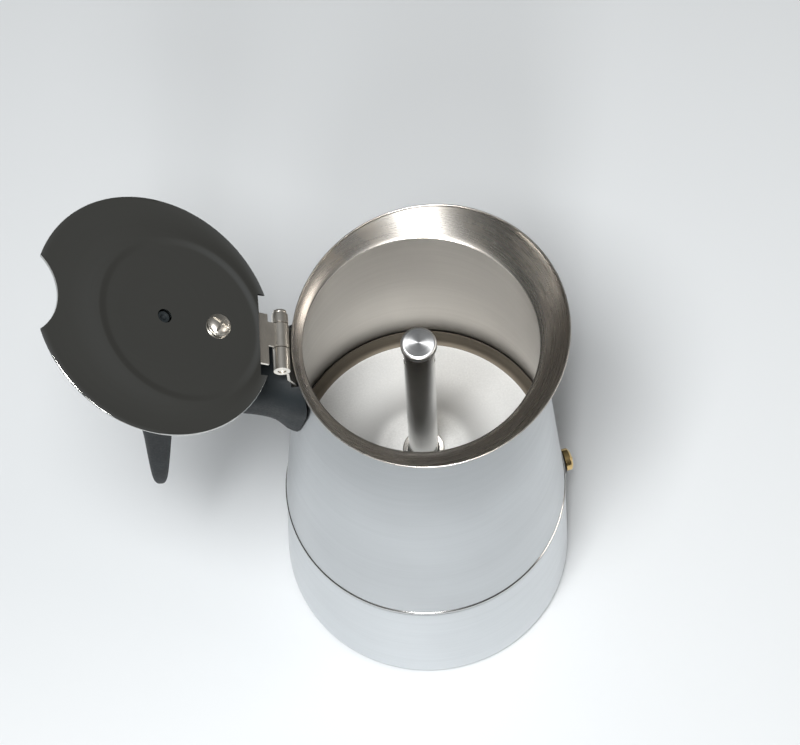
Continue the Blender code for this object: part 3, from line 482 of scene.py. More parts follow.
def steel(
    name,
    colour,
    roughness,
    across=2200.0,
    around=28.0,
    centre=0.0,
    depth=0.004 * MM,
    anisotropy=0.0,
    shade=0.12,
    patch=0.06,
    tint=(0.62, 0.50, 0.33),
    tint_share=0.0,
    fade=None,
):
    """Steel with turned marks, soft patches and a little stain.

    Roughness is a (low, high) pair. Fade gives the heights of full and of no painted shade,
    which darkens the colour by height, and the share of the colour that full painted shade takes.
    """
    material, tree, shader = start_material(name)
    marks = place_group(tree, "Turned Marks", Around=around, Across=across, Centre=centre)
    hands = place_group(tree, "Handling Marks", Size=26.0)
    colours = blend_colours(
        tree, marks.outputs["Shade"], scaled(colour, 1.0 - shade), scaled(colour, 1.0 + 0.4 * shade)
    )
    worn = times(tree, hands.outputs["Patches"], patch)
    colours = blend_colours(tree, worn, colours, scaled(colour, 0.55))
    if tint_share:
        stain = times(tree, hands.outputs["Smears"], tint_share)
        colours = blend_colours(tree, stain, colours, tint)
    # Painted shade: between the two heights the colour darkens towards 0.3 of itself, standing in
    # for shade
    if fade:
        painted_shade_peak, clear, share = fade
        painted_shade_share = span(tree, axes_of(tree)[2], painted_shade_peak, clear, share, 0.0, smooth=True)
        colours = blend_colours(tree, painted_shade_share, colours, scaled(colour, 0.3))
    tree.links.new(colours, shader.inputs["Base Color"])
    low, high = roughness
    smeared = 0.3 * (high - low)
    rough = span(tree, marks.outputs["Shade"], 0.0, 1.0, high - smeared, low)
    rough = maths(tree, "ADD", rough, times(tree, hands.outputs["Smears"], smeared))
    tree.links.new(rough, shader.inputs["Roughness"])
    shader.inputs["Metallic"].default_value = 1.0
    if anisotropy:
        shader.inputs["Anisotropic"].default_value = anisotropy
        tangent = tree.nodes.new("ShaderNodeTangent")
        tangent.direction_type = "RADIAL"
        tangent.axis = "Z"
        tree.links.new(tangent.outputs[0], shader.inputs["Tangent"])
    bump(tree, shader, marks.outputs["Height"], depth)
    return material


def blasted_steel(name, colour, roughness, ring=None):
    """Matt blasted steel with tiny specks.

    Ring gives the radii where a ring of painted shade starts round a lighter middle, where it is
    darkest and where it ends; beyond its end 0.3 of the painted shade stays.
    """
    material, tree, shader = start_material(name)
    grain = place_group(tree, "Fine Grain", Scale=1500.0)
    hands = place_group(tree, "Handling Marks", Size=34.0)
    colours = blend_colours(
        tree, grain.outputs["Height"], scaled(colour, 0.84), scaled(colour, 1.14)
    )
    specks = times(tree, grain.outputs["Specks"], 0.35)
    colours = blend_colours(tree, specks, colours, scaled(colour, 1.28))
    # Painted shade: the ring darkens the dome's slope round the column and leaves the middle
    # lighter
    if ring:
        x, y, _ = axes_of(tree)
        flat = tree.nodes.new("ShaderNodeCombineXYZ")
        tree.links.new(x, flat.inputs[0])
        tree.links.new(y, flat.inputs[1])
        length = tree.nodes.new("ShaderNodeVectorMath")
        length.operation = "LENGTH"
        tree.links.new(flat.outputs[0], length.inputs[0])
        painted_shade_start, painted_shade_peak, even = ring
        rise = span(tree, length.outputs["Value"], painted_shade_start, painted_shade_peak, 0.0, 1.0, smooth=True)
        fall = span(tree, length.outputs["Value"], painted_shade_peak, even, 1.0, 0.3, smooth=True)
        colours = blend_colours(tree, times(tree, rise, fall), colours, scaled(colour, 0.62))
    worn = times(tree, hands.outputs["Patches"], 0.12)
    colours = blend_colours(tree, worn, colours, scaled(colour, 0.7))
    tree.links.new(colours, shader.inputs["Base Color"])
    low, high = roughness
    tree.links.new(
        span(tree, grain.outputs["Height"], 0.3, 0.7, low, high), shader.inputs["Roughness"]
    )
    shader.inputs["Metallic"].default_value = 0.42
    bump(tree, shader, grain.outputs["Height"], 0.05 * MM, 0.6)
    return material


def moulded_plastic(name, colour, grain_depth):
    material, tree, shader = start_material(name)
    grain = place_group(tree, "Fine Grain", Scale=1400.0)
    hands = place_group(tree, "Handling Marks", Size=45.0)
    colours = blend_colours(tree, hands.outputs["Patches"], colour, scaled(colour, 1.7))
    tree.links.new(colours, shader.inputs["Base Color"])
    shader.inputs["Specular IOR Level"].default_value = 0.16
    rough = span(tree, grain.outputs["Height"], 0.3, 0.7, 0.48, 0.62)
    rough = maths(tree, "ADD", rough, times(tree, hands.outputs["Smears"], 0.08))
    tree.links.new(rough, shader.inputs["Roughness"])
    bump(tree, shader, grain.outputs["Height"], grain_depth, 0.5)
    return material


def rubber(name, colour):
    material, tree, shader = start_material(name)
    grain = place_group(tree, "Fine Grain", Scale=1100.0)
    colours = blend_colours(tree, grain.outputs["Height"], scaled(colour, 0.7), scaled(colour, 1.4))
    tree.links.new(colours, shader.inputs["Base Color"])
    tree.links.new(
        span(tree, grain.outputs["Height"], 0.3, 0.7, 0.5, 0.7), shader.inputs["Roughness"]
    )
    bump(tree, shader, grain.outputs["Height"], 0.03 * MM, 0.6)
    return material


FINISHES = {}


def finish_of(name):
    """The named finish, built when it is first asked for."""
    if name in FINISHES:
        return FINISHES[name]
    scene = bpy.context.scene
    vessel = scene.pot_vessel
    outer = tuple(vessel.steel)
    inner = tuple(vessel.warm_steel)
    mirror = tuple(scene.pot_lid.mirror)
    plastic = tuple(scene.pot_handle.plastic)
    brass = tuple(scene.pot_valve.brass)
    makers = {
        "outer": lambda: steel(
            "outer_brushed_steel",
            scaled(outer, 0.95),
            (0.28, 0.36),
            depth=0.002 * MM,
            anisotropy=0.3,
            shade=0.05,
            patch=0.1,
            # Painted shade: the colour darkens just under the flared rim, for the shade there
            fade=(WAIST_HEIGHT - 2 * MM, WAIST_HEIGHT - 62 * MM, 0.42),
        ),
        # Painted light: the boiler takes a lighter copy of the outer steel, for the brighter
        # reflection on it
        "boiler": lambda: steel(
            "boiler_brushed_steel",
            scaled(outer, 1.12),
            (0.30, 0.38),
            across=1900.0,
            depth=0.002 * MM,
            shade=0.05,
        ),
        "flare": lambda: steel(
            "flare_steel",
            scaled(inner, 1.04),
            (0.24, 0.34),
            across=2600.0,
            around=14.0,
            depth=0.0015 * MM,
            anisotropy=0.4,
            shade=0.09,
            tint_share=0.25,
        ),
        "inner": lambda: steel(
            "inner_satin_steel",
            scaled(inner, 0.96),
            (0.36, 0.44),
            across=1500.0,
            shade=0.06,
            depth=0.002 * MM,
            # Painted shade: the inner wall darkens low down, by the floor, for the shade in that
            # corner
            fade=(FLOOR_HEIGHT + 4 * MM, FLOOR_HEIGHT + 22 * MM, 0.75),
        ),
        # Painted shade: a darker ring on the floor's dome round the column, with a lighter middle
        "floor": lambda: blasted_steel(
            "blasted_floor", tuple(vessel.blasted_steel), (0.6, 0.72), (13 * MM, 18 * MM, 30 * MM)
        ),
        # Painted shade: the hem, in the corner where the floor meets the wall, takes a dark colour
        # for the shade there
        "hem": lambda: steel(
            "floor_hem_steel", (0.20, 0.175, 0.14), (0.6, 0.7), across=1500.0, shade=0.15
        ),
        "hidden": lambda: blasted_steel("plain_steel", scaled(outer, 0.95), (0.42, 0.55)),
        "column": lambda: steel(
            "column_steel", (0.66, 0.66, 0.65), (0.14, 0.24), across=900.0, shade=0.08
        ),
        "cap": lambda: steel(
            "cap_turned_steel",
            (0.94, 0.95, 0.96),
            (0.34, 0.48),
            across=3200.0,
            around=60.0,
            anisotropy=0.75,
            shade=0.2,
            depth=0.01 * MM,
        ),
        "mirror": lambda: steel(
            "lid_polished_steel",
            mirror,
            (0.05, 0.10),
            across=900.0,
            centre=LID_CENTRE,
            shade=0.03,
            patch=0.05,
            depth=0.0015 * MM,
        ),
        "lid_top": lambda: steel(
            "lid_brushed_steel",
            outer,
            (0.16, 0.26),
            across=2400.0,
            centre=LID_CENTRE,
            shade=0.15,
            anisotropy=0.4,
        ),
        "hinge": lambda: steel(
            "hinge_nickel", (0.86, 0.82, 0.75), (0.3, 0.44), across=1400.0, around=200.0, shade=0.25
        ),
        "plastic": lambda: moulded_plastic("moulded_plastic", plastic, scene.pot_handle.grain),
        "brass": lambda: steel(
            "turned_brass",
            brass,
            (0.16, 0.28),
            across=2600.0,
            around=120.0,
            shade=0.25,
            tint=(0.45, 0.27, 0.1),
            tint_share=0.3,
        ),
        "washer": lambda: rubber("valve_washer_rubber", tuple(scene.pot_valve.rubber)),
        "gasket": lambda: rubber("gasket_rubber", (0.72, 0.70, 0.64)),
    }
    FINISHES[name] = makers[name]()
    return FINISHES[name]


# ---------------------------------------------------------------- mesh tools


def around(steps):
    """The cosine and the sine of each step of a whole turn."""
    turns = [2 * math.pi * i / steps for i in range(steps)]
    return [(math.cos(turn), math.sin(turn)) for turn in turns]


def squared(value, power):
    """A cosine or sine drawn towards 1 or -1, which makes an oval more like a box."""
    return math.copysign(abs(value) ** power, value)


def rounded(points, reach, steps=3):
    """A closed outline of (across, up) points with rounded corners. Points on the axis stay."""
    outline = []
    for i, point in enumerate(points):
        here = Vector(point[:2])
        limit = point[2] if len(point) > 2 else reach
        before = Vector(points[i - 1][:2]) - here
        after = Vector(points[(i + 1) % len(points)][:2]) - here
        if here.x < 1e-9 or limit <= 0:
            outline.append(here)
            continue
        limit = min(limit, 0.45 * before.length, 0.45 * after.length)
        start = here + before.normalized() * limit
        end = here + after.normalized() * limit
        for k in range(steps + 1):
            t = k / steps
            outline.append(start * (1 - t) ** 2 + here * (2 * t * (1 - t)) + end * t * t)
    return outline


def curve_through(points, steps):
    """A smooth line through tuples of numbers, with this many steps between each two."""
    line = []
    last = len(points) - 1
    for i in range(last):
        a, b, c, d = points[max(i - 1, 0)], points[i], points[i + 1], points[min(i + 2, last)]
        for k in range(steps):
            t = k / steps
            line.append(
                tuple(
                    0.5
                    * (
                        2 * q
                        + (r - p) * t
                        + (2 * p - 5 * q + 4 * r - s) * t * t
                        + (3 * q - p - 3 * r + s) * t**3
                    )
                    for p, q, r, s in zip(a, b, c, d)
                )
            )
    line.append(tuple(points[-1]))
    return line


def skin(rings, closed):
    """A bmesh over rings of equal length. A closed skin joins its last ring to its first, and
    an open one has a face at each end.
    """
    work = bmesh.new()
    rows = [[work.verts.new(point) for point in ring] for ring in rings]
    count = len(rings[0])
    for i in range(len(rows) if closed else len(rows) - 1):
        near = rows[i]
        far = rows[(i + 1) % len(rows)]
        for k in range(count):
            n = (k + 1) % count
            work.faces.new((near[k], near[n], far[n], far[k]))
    if not closed:
        work.faces.new(rows[0])
        work.faces.new(rows[-1])
    return work


def turn_profile(outline, steps):
    """A bmesh of an outline of (radius, height) turned about Z, closed or from axis to axis."""
    work = bmesh.new()
    rows = []
    for radius, height in outline:
        if radius < 1e-7:
            rows.append([work.verts.new((0.0, 0.0, height))])
        else:
            rows.append(
                [work.verts.new((radius * c, radius * s, height)) for c, s in around(steps)]
            )
    for i, near in enumerate(rows):
        far = rows[(i + 1) % len(rows)]
        if len(near) == 1 and len(far) == 1:
            continue
        for k in range(steps):
            n = (k + 1) % steps
            if len(near) == 1:
                work.faces.new((near[0], far[n], far[k]))
            elif len(far) == 1:
                work.faces.new((near[k], near[n], far[0]))
            else:
                work.faces.new((near[k], near[n], far[n], far[k]))
    return work


def finish_mesh(name, work):
    """A smooth-shaded mesh from a bmesh, with its faces turned outwards."""
    bmesh.ops.recalc_face_normals(work, faces=work.faces)
    if work.calc_volume(signed=True) < 0:
        bmesh.ops.reverse_faces(work, faces=work.faces)
    mesh = bpy.data.meshes.new(name)
    work.to_mesh(mesh)
    work.free()
    mesh.shade_smooth()
    return mesh


def add_piece(name, mesh, body, finish, stands_for, place=None):
    """Puts a piece in the scene with its finish or finishes in material slots and its body, and
    hides the solids it stands for.
    """
    obj = bpy.data.objects.new(name, mesh)
    bpy.context.scene.collection.objects.link(obj)
    if place is not None:
        obj.matrix_world = place
    for each in finish if isinstance(finish, (list, tuple)) else [finish]:
        mesh.materials.append(finish_of(each))
    weight = obj.modifiers.new("Even normals", "WEIGHTED_NORMAL")
    weight.keep_sharp = True
    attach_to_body(obj, body)
    if stands_for:
        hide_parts(*stands_for)


def carve(mesh, cutters):
    """Cuts each closed cutter mesh out of a mesh, and returns the new mesh."""
    scene = bpy.context.scene
    body = bpy.data.objects.new("carving", mesh)
    scene.collection.objects.link(body)
    helpers = []
    for i, cutter in enumerate(cutters):
        helper = bpy.data.objects.new(f"cutter_{i}", cutter)
        scene.collection.objects.link(helper)
        helpers.append(helper)
        step = body.modifiers.new(f"Cut {i}", "BOOLEAN")
        step.operation = "DIFFERENCE"
        step.solver = "EXACT"
        step.object = helper
    bpy.context.view_layer.update()
    graph = bpy.context.evaluated_depsgraph_get()
    made = bpy.data.meshes.new_from_object(body.evaluated_get(graph))
    if len(made.polygons) == 0:
        raise RuntimeError(f"{mesh.name} was cut away entirely")
    made.name = mesh.name
    for helper in [body, *helpers]:
        bpy.data.objects.remove(helper, do_unlink=True)
    return made


def sharpen(mesh, degrees):
    """Marks edges over an angle as sharp, so that flat faces stay flat."""
    mesh.shade_smooth()
    mesh.set_sharp_from_angle(angle=math.radians(degrees))


def soften_solid(node, finish, width):
    """Keeps a solid as it is, with rounded edges from modifiers and a finish of its own."""
    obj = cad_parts[node]
    mesh = obj.data
    custom = mesh.attributes.get("custom_normal")
    if custom is not None:
        mesh.attributes.remove(custom)
    mesh.shade_smooth()
    weld = obj.modifiers.new("Weld", "WELD")
    weld.merge_threshold = 1e-6
    flat = obj.modifiers.new("Flat faces", "DECIMATE")
    flat.decimate_type = "DISSOLVE"
    flat.angle_limit = math.radians(0.5)
    if width:
        edge = obj.modifiers.new("Rounded edges", "BEVEL")
        edge.limit_method = "ANGLE"
        edge.angle_limit = math.radians(35)
        edge.width = width
        edge.segments = 2
    obj.modifiers.new("Even normals", "WEIGHTED_NORMAL")
    for holder in obj.material_slots:
        holder.material = finish_of(finish)
    if not obj.material_slots:
        mesh.materials.append(finish_of(finish))


def rod(radius, low, high, steps, x=0.0, axis="Z"):
    """A closed cylinder mesh along an axis, for cutting. It is turned by 0.4 of a step, so that
    its corners miss those of the piece it cuts.
    """
    mesh = finish_mesh(
        "rod", turn_profile([(0.0, low), (radius, low), (radius, high), (0.0, high)], steps)
    )
    mesh.transform(Matrix.Rotation(0.4 * 2 * math.pi / steps, 4, "Z"))
    if axis == "X":
        mesh.transform(Matrix.Rotation(math.pi / 2, 4, "Y"))
    mesh.transform(Matrix.Translation((x, 0.0, 0.0)))
    return mesh


def block(low, high):
    x0, y0, z0 = low
    x1, y1, z1 = high
    lower = [(x0, y0, z0), (x1, y0, z0), (x1, y1, z0), (x0, y1, z0)]
    return finish_mesh("block", skin([lower, [(x, y, z1) for x, y, _ in lower]], False))


# ---------------------------------------------------------------- shapes of the vessels


def straight_radius(height):
    """Outer radius of the upper vessel's side."""
    share = (height - SEAM_HEIGHT) / (WAIST_HEIGHT - SEAM_HEIGHT)
    return SEAM_RADIUS + share * (WAIST_RADIUS - SEAM_RADIUS)


def boiler_radius(height):
    return SEAM_RADIUS + (BASE_RADIUS - SEAM_RADIUS) * (1 - height / SEAM_HEIGHT)


def vessel_ring(radius_x, radius_y, offset, height, slope=0.0):
    """An oval round a vessel, moved along X and tipped up towards the pouring side."""
    return [
        (offset + radius_x * c, radius_y * s, height + slope * (radius_x * c))
        for c, s in around(bpy.context.scene.pot_vessel.steps)
    ]


def flare_ring(share, inset):
    """A ring of the flared mouth. Share 0 is the waist and share 1 is the rim."""
    rise = share**FLARE_POWER
    radius_x = WAIST_RADIUS + share * (RIM_LENGTH / 2 - WAIST_RADIUS) - inset
    radius_y = WAIST_RADIUS + share * (RIM_WIDTH / 2 - WAIST_RADIUS) - inset
    offset = WAIST_OFFSET + share * (RIM_OFFSET - WAIST_OFFSET)
    height = WAIST_HEIGHT + rise * (RIM_HEIGHT - WAIST_HEIGHT)
    return vessel_ring(radius_x, radius_y, offset, height, RIM_SLOPE * rise)


def side_ring(height, inset):
    """A ring of the tapered side, which leans a little towards the pouring side near the waist."""
    share = (height - SEAM_HEIGHT) / (WAIST_HEIGHT - SEAM_HEIGHT)
    radius = straight_radius(height) - inset
    return vessel_ring(radius, radius, share**6 * WAIST_OFFSET, height)


# ---------------------------------------------------------------- operators


class MOKA_OT_boiler(bpy.types.Operator):
    """Build the boiler's shell and its thread"""

    bl_idname = "moka.boiler"
    bl_label = "Boiler"

    def execute(self, context):
        top = SEAM_HEIGHT
        wall = BOILER_WALL
        outline = [
            (0.0, 0.0),
            (BASE_GROOVE_RADIUS - 1.0 * MM, 0.0),
            (BASE_GROOVE_RADIUS, BASE_GROOVE_DEPTH),
            (BASE_GROOVE_RADIUS + 1.0 * MM, 0.0),
            (BASE_RADIUS - 2.6 * MM, 0.0, 1.2 * MM),
            (BASE_RADIUS - 0.45 * MM, 1.3 * MM, 1.2 * MM),
            (boiler_radius(4.2 * MM), 4.2 * MM, 1.0 * MM),
            (boiler_radius(top / 2), top / 2),
            (SEAM_RADIUS, top - 1.3 * MM, 0.6 * MM),
            (SEAM_RADIUS - 1.1 * MM, top - 0.1 * MM, 0.5 * MM),
            (NECK_RADIUS, top),
            (NECK_RADIUS, NECK_TOP),
            (NECK_RADIUS - wall, NECK_TOP),
            (NECK_RADIUS - wall, top - wall),
            (SEAM_RADIUS - 2.0 * MM, top - wall),
            (SEAM_RADIUS - wall, top - 2.0 * MM),
            (boiler_radius(4.0 * MM) - wall, 4.0 * MM),
            (BASE_RADIUS - 3.4 * MM, BASE_SHEET),
            (0.0, BASE_SHEET),
        ]
        steps = context.scene.pot_vessel.steps
        mesh = finish_mesh("boiler_body", turn_profile(rounded(outline, 0.3 * MM), steps))
        add_piece("boiler_body", mesh, "boiler", "boiler", ["boiler_shell"])

        rings = []
        count = round(THREAD_TURNS * THREAD_STEPS)
        for i in range(count + 1):
            turn = 2 * math.pi * (i + 0.4) / THREAD_STEPS
            middle = THREAD_START + THREAD_PITCH * i / THREAD_STEPS
            fade = min(1.0, min(i, count - i) / 5)
            crest = THREAD_HEIGHT * fade
            section = (
                (-0.4 * MM, -1.0 * MM),
                (0.45 * crest, -0.75 * MM),
                (0.93 * crest, -0.45 * MM),
                (crest, 0.0),
                (0.93 * crest, 0.45 * MM),
                (0.45 * crest, 0.75 * MM),
                (-0.4 * MM, 1.0 * MM),
            )
            c, s = math.cos(turn), math.sin(turn)
            rings.append(
                [
                    ((NECK_RADIUS + out) * c, (NECK_RADIUS + out) * s, middle + up)
                    for out, up in section
                ]
            )
        thread = finish_mesh("boiler_thread", skin(rings, False))
        add_piece("boiler_thread", thread, "boiler", "hidden", [])
        return {"FINISHED"}


class MOKA_OT_upper_vessel(bpy.types.Operator):
    """Build the tapered upper vessel with its rolled rim"""

    bl_idname = "moka.upper_vessel"
    bl_label = "Upper vessel"

    def execute(self, context):
        foot = SEAM_HEIGHT + GAP
        bead_top = foot + SEAM_BEAD_HEIGHT
        outside = [
            side_ring(foot, 0.45 * MM),
            side_ring(foot + 0.12 * MM, -0.2 * SEAM_BEAD),
            side_ring(foot + 0.35 * MM, -0.85 * SEAM_BEAD),
            side_ring(foot + 0.7 * MM, -SEAM_BEAD),
            side_ring(bead_top - 0.5 * MM, -0.95 * SEAM_BEAD),
            side_ring(bead_top - 0.25 * MM, -0.5 * SEAM_BEAD),
            side_ring(bead_top - 0.1 * MM, SEAM_GROOVE),
            side_ring(bead_top + 0.1 * MM, SEAM_GROOVE),
            side_ring(bead_top + 0.25 * MM, 0.0),
        ]
        bead_rows = len(outside)
        side_from = bead_top + 0.4 * MM
        side_height = WAIST_HEIGHT - bead_top - 1.2 * MM
        levels = [side_from + side_height * k / 16 for k in range(17)]
        outside += [side_ring(level, 0.0) for level in levels]
        flare = [k / 14 for k in range(15)]
        outside += [flare_ring(share, 0.0) for share in flare]
        rim = RIM_LENGTH / 2
        width = RIM_WIDTH / 2
        outside_rows = len(outside)
        for grow, lift in curve_through(RIM_ROLL, 3):
            outside.append(
                vessel_ring(rim + grow, width + grow, RIM_OFFSET, RIM_HEIGHT + lift, RIM_SLOPE)
            )
        inside = [
            flare_ring(share, UPPER_WALL * (1 - RIM_THINNING * share**2)) for share in flare[::-1]
        ]
        flare_rows = len(outside) + len(inside)
        inside += [side_ring(level, UPPER_WALL) for level in levels[::-1]]
        inside.append(side_ring(foot, UPPER_WALL))
        work = skin(outside + inside, True)
        finishes = ["outer", "flare", "inner", "column"]
        steps = context.scene.pot_vessel.steps
        for index, face in enumerate(work.faces):
            row = index // steps
            if row < bead_rows - 1:
                finish = "column"
            elif row < outside_rows:
                finish = "outer"
            elif row < flare_rows:
                finish = "flare"
            else:
                finish = "inner"
            face.material_index = finishes.index(finish)
        mesh = finish_mesh("upper_body", work)
        sharpen(mesh, 30)
        add_piece("upper_body", mesh, "upper", finishes, ["upper_shell"])
        return {"FINISHED"}


class MOKA_OT_chamber(bpy.types.Operator):
    """Build the floor, the coffee column, its cap and its ring"""

    bl_idname = "moka.chamber"
    bl_label = "Chamber"

    def execute(self, context):
        high = FLOOR_HEIGHT
        wall = FLOOR_WALL
        edge = UPPER_WALL + GAP
        lip = high + FLOOR_LIP
        reach = straight_radius(lip) - edge
        dome = [
            (FLOOR_RADIUS, high),
            (31 * MM, high + 0.02 * MM),
            (22.5 * MM, high + 0.12 * MM),
            (18 * MM, high + 0.75 * MM),
            (14 * MM, high + 1.9 * MM),
            (10 * MM, high + FLOOR_RISE - 0.45 * MM),
            (COLUMN_RADIUS + GAP, high + FLOOR_RISE),
        ]
        top = curve_through(dome, 5)
        under = [(r, z - wall) for r, z in top[::-1]]
        outline = (
            [
                (reach - 0.6 * wall, lip),
                (FLOOR_RADIUS + 1.9 * MM, high + 1.1 * MM),
                (FLOOR_RADIUS + 0.9 * MM, high + 0.3 * MM),
            ]
            + top
            + under
            + [(FLOOR_RADIUS + 2.6 * MM, high), (reach, lip - 1.0 * MM), (reach, lip)]
        )
        work = turn_profile(outline, 128)
        # Faces beyond the floor's radius take the hem's dark colour, painted shade in the corner
        # where the floor meets the wall
        for face in work.faces:
            face.material_index = 1 if face.calc_center_median().xy.length > FLOOR_RADIUS else 0
        mesh = finish_mesh("floor_plate", work)
        add_piece("floor_plate", mesh, "upper", ["floor", "hem"], ["chamber_floor"])

        inner = COLUMN_RADIUS - COLUMN_WALL
        outline = [
            (COLUMN_RADIUS, COLUMN_FOOT),
            (COLUMN_RADIUS, COLUMN_TOP),
            (inner, COLUMN_TOP),
            (inner, COLUMN_FOOT),
        ]
        work = turn_profile(rounded(outline, 0.2 * MM), PIECE_STEPS)
        tube = finish_mesh("column_tube", work)
        outlet = rod(OUTLET_RADIUS, -CUTTER_REACH, CUTTER_REACH, 32, axis="X")
        outlet.transform(Matrix.Translation((0.0, 0.0, OUTLET_HEIGHT)))
        tube = carve(tube, [outlet])
        sharpen(tube, 40)
        add_piece("column_tube", tube, "upper", "column", ["column"])

        low = COLUMN_TOP + GAP
        stem = inner - GAP
        face = low + CAP_THICKNESS
        outline = [
            (0.0, COLUMN_TOP - 3 * MM),
            (stem, COLUMN_TOP - 3 * MM),
            (stem, low),
            (CAP_RADIUS - 0.2 * MM, low),
            (CAP_RADIUS, low + 0.4 * MM),
            (CAP_RADIUS, face - 0.55 * MM, 0.3 * MM),
            (CAP_RADIUS - 0.65 * MM, face - 0.06 * MM, 0.3 * MM),
            (0.6 * CAP_RADIUS, face),
            (0.0, face),
        ]
        work = turn_profile(rounded(outline, 0.15 * MM), PIECE_STEPS)
        cap = finish_mesh("column_top", work)
        add_piece("column_top", cap, "upper", "cap", ["column_cap"])

        ring_low = FLOOR_HEIGHT + FLOOR_RISE + GAP
        ring_high = ring_low + 0.8 * MM
        outline = [
            (COLUMN_RADIUS + GAP, ring_low),
            (RING_RADIUS, ring_low, 0.35 * MM),
            (RING_RADIUS, ring_high, 0.35 * MM),
            (COLUMN_RADIUS + GAP, ring_high),
        ]
        work = turn_profile(rounded(outline, 0.15 * MM), PIECE_STEPS)
        mesh = finish_mesh("column_foot_ring", work)
        add_piece("column_foot_ring", mesh, "upper", "column", ["column_ring"])
        return {"FINISHED"}


class MOKA_OT_lid(bpy.types.Operator):
    """Build the polished lid, made closed at the hinge pin and turned open"""

    bl_idname = "moka.lid"
    bl_label = "Lid"

    def ring(self, radius, centre, height):
        return [(centre + radius * c, radius * s, height) for c, s in around(LID_STEPS)]

    def execute(self, context):
        crown = context.scene.pot_lid.crown
        under = -LID_DROP
        over = under + LID_THICKNESS
        flat_radius = DISH_RADIUS - DISH_SLOPE
        depth = context.scene.pot_lid.dish
        below = [
            self.ring(flat_radius * share, DISH_CENTRE, under + depth)
            for share in (0.12, 0.4, 0.7, 0.97)
        ]
        above = [
            self.ring((flat_radius + LID_CREASE) * share, DISH_CENTRE, over + DISH_HEIGHT)
            for share in (0.12, 0.4, 0.7, 0.97)
        ]
        for k in range(9):
            t = k / 8
            ease = t * t * (3 - 2 * t)
            radius = flat_radius + DISH_SLOPE * t
            fall = 1 - ease
            below.append(self.ring(radius, DISH_CENTRE, under + depth * fall))
            above.append(self.ring(radius + LID_CREASE, DISH_CENTRE, over + DISH_HEIGHT * fall))
        for k in range(1, 11):
            t = k / 10
            radius = DISH_RADIUS + (LID_RADIUS - DISH_RADIUS) * t
            centre = DISH_CENTRE + (LID_CENTRE - DISH_CENTRE) * t
            lift = crown * math.sin(math.pi * t)
            edge = LID_EDGE if k == 10 else 0.0
            below.append(self.ring(radius - edge, centre, under + lift))
            above.append(self.ring(radius - edge + LID_CREASE * (1 - t), centre, over + lift))
        below.append(self.ring(LID_RADIUS, LID_CENTRE, under + LID_EDGE))
        above.append(self.ring(LID_RADIUS, LID_CENTRE, over - LID_EDGE))
        work = skin(below + above[::-1], False)
        work.faces.ensure_lookup_table()
        # The last face is the flat middle of the top side, which is brushed
        work.faces[-1].material_index = 1
        mesh = finish_mesh("lid_sheet", work)
        width = HINGE_CUT_WIDTH / 2
        far_edge = LID_CENTRE + LID_RADIUS
        low, high = -CUTTER_REACH, CUTTER_REACH
        mesh = carve(
            mesh,
            [
                block((-2 * MM, -width, low), (HINGE_CUT, width, high)),
                rod(NOTCH_RADIUS, low, high, 96, far_edge - NOTCH_DEPTH + NOTCH_RADIUS),
                rod(SCREW_RADIUS + GAP, low, high, 32, SCREW_AT),
                rod(PEG_RADIUS + GAP, low, high, 32, PEG_AT),
            ],
        )
        sharpen(mesh, 50)
        add_piece(
            "lid_sheet", mesh, "lid", ["mirror", "lid_top"], ["lid"], LID_FRAME
        )

        head_top = under + depth - GAP
        dome = [
            (SCREW_HEAD, head_top - 0.5 * MM),
            (0.93 * SCREW_HEAD, head_top - 1.05 * MM),
            (0.72 * SCREW_HEAD, head_top - 1.65 * MM),
            (0.4 * SCREW_HEAD, head_top - 2.02 * MM),
            (0.0, head_top - 2.1 * MM),
        ]
        outline = [
            (0.0, 5.4 * MM),
            (SCREW_RADIUS, 5.4 * MM),
            (SCREW_RADIUS, head_top),
            (SCREW_HEAD, head_top),
        ] + curve_through(dome, 4)
        screw = finish_mesh("knob_fixing", turn_profile(outline, 48))
        long = 5 * MM
        slots = [
            block((-across, -along, head_top - 5 * MM), (across, along, head_top - SLOT_DEPTH))
            for across, along in ((SLOT_HALF_WIDTH, long), (long, SLOT_HALF_WIDTH))
        ]
        screw = carve(screw, slots)
        sharpen(screw, 40)
        place = LID_FRAME @ Matrix.Translation((SCREW_AT, 0.0, 0.0)) @ Matrix.Rotation(0.5, 4, "Z")
        add_piece("knob_fixing", screw, "lid", "hinge", ["knob_screw"], place)
        return {"FINISHED"}


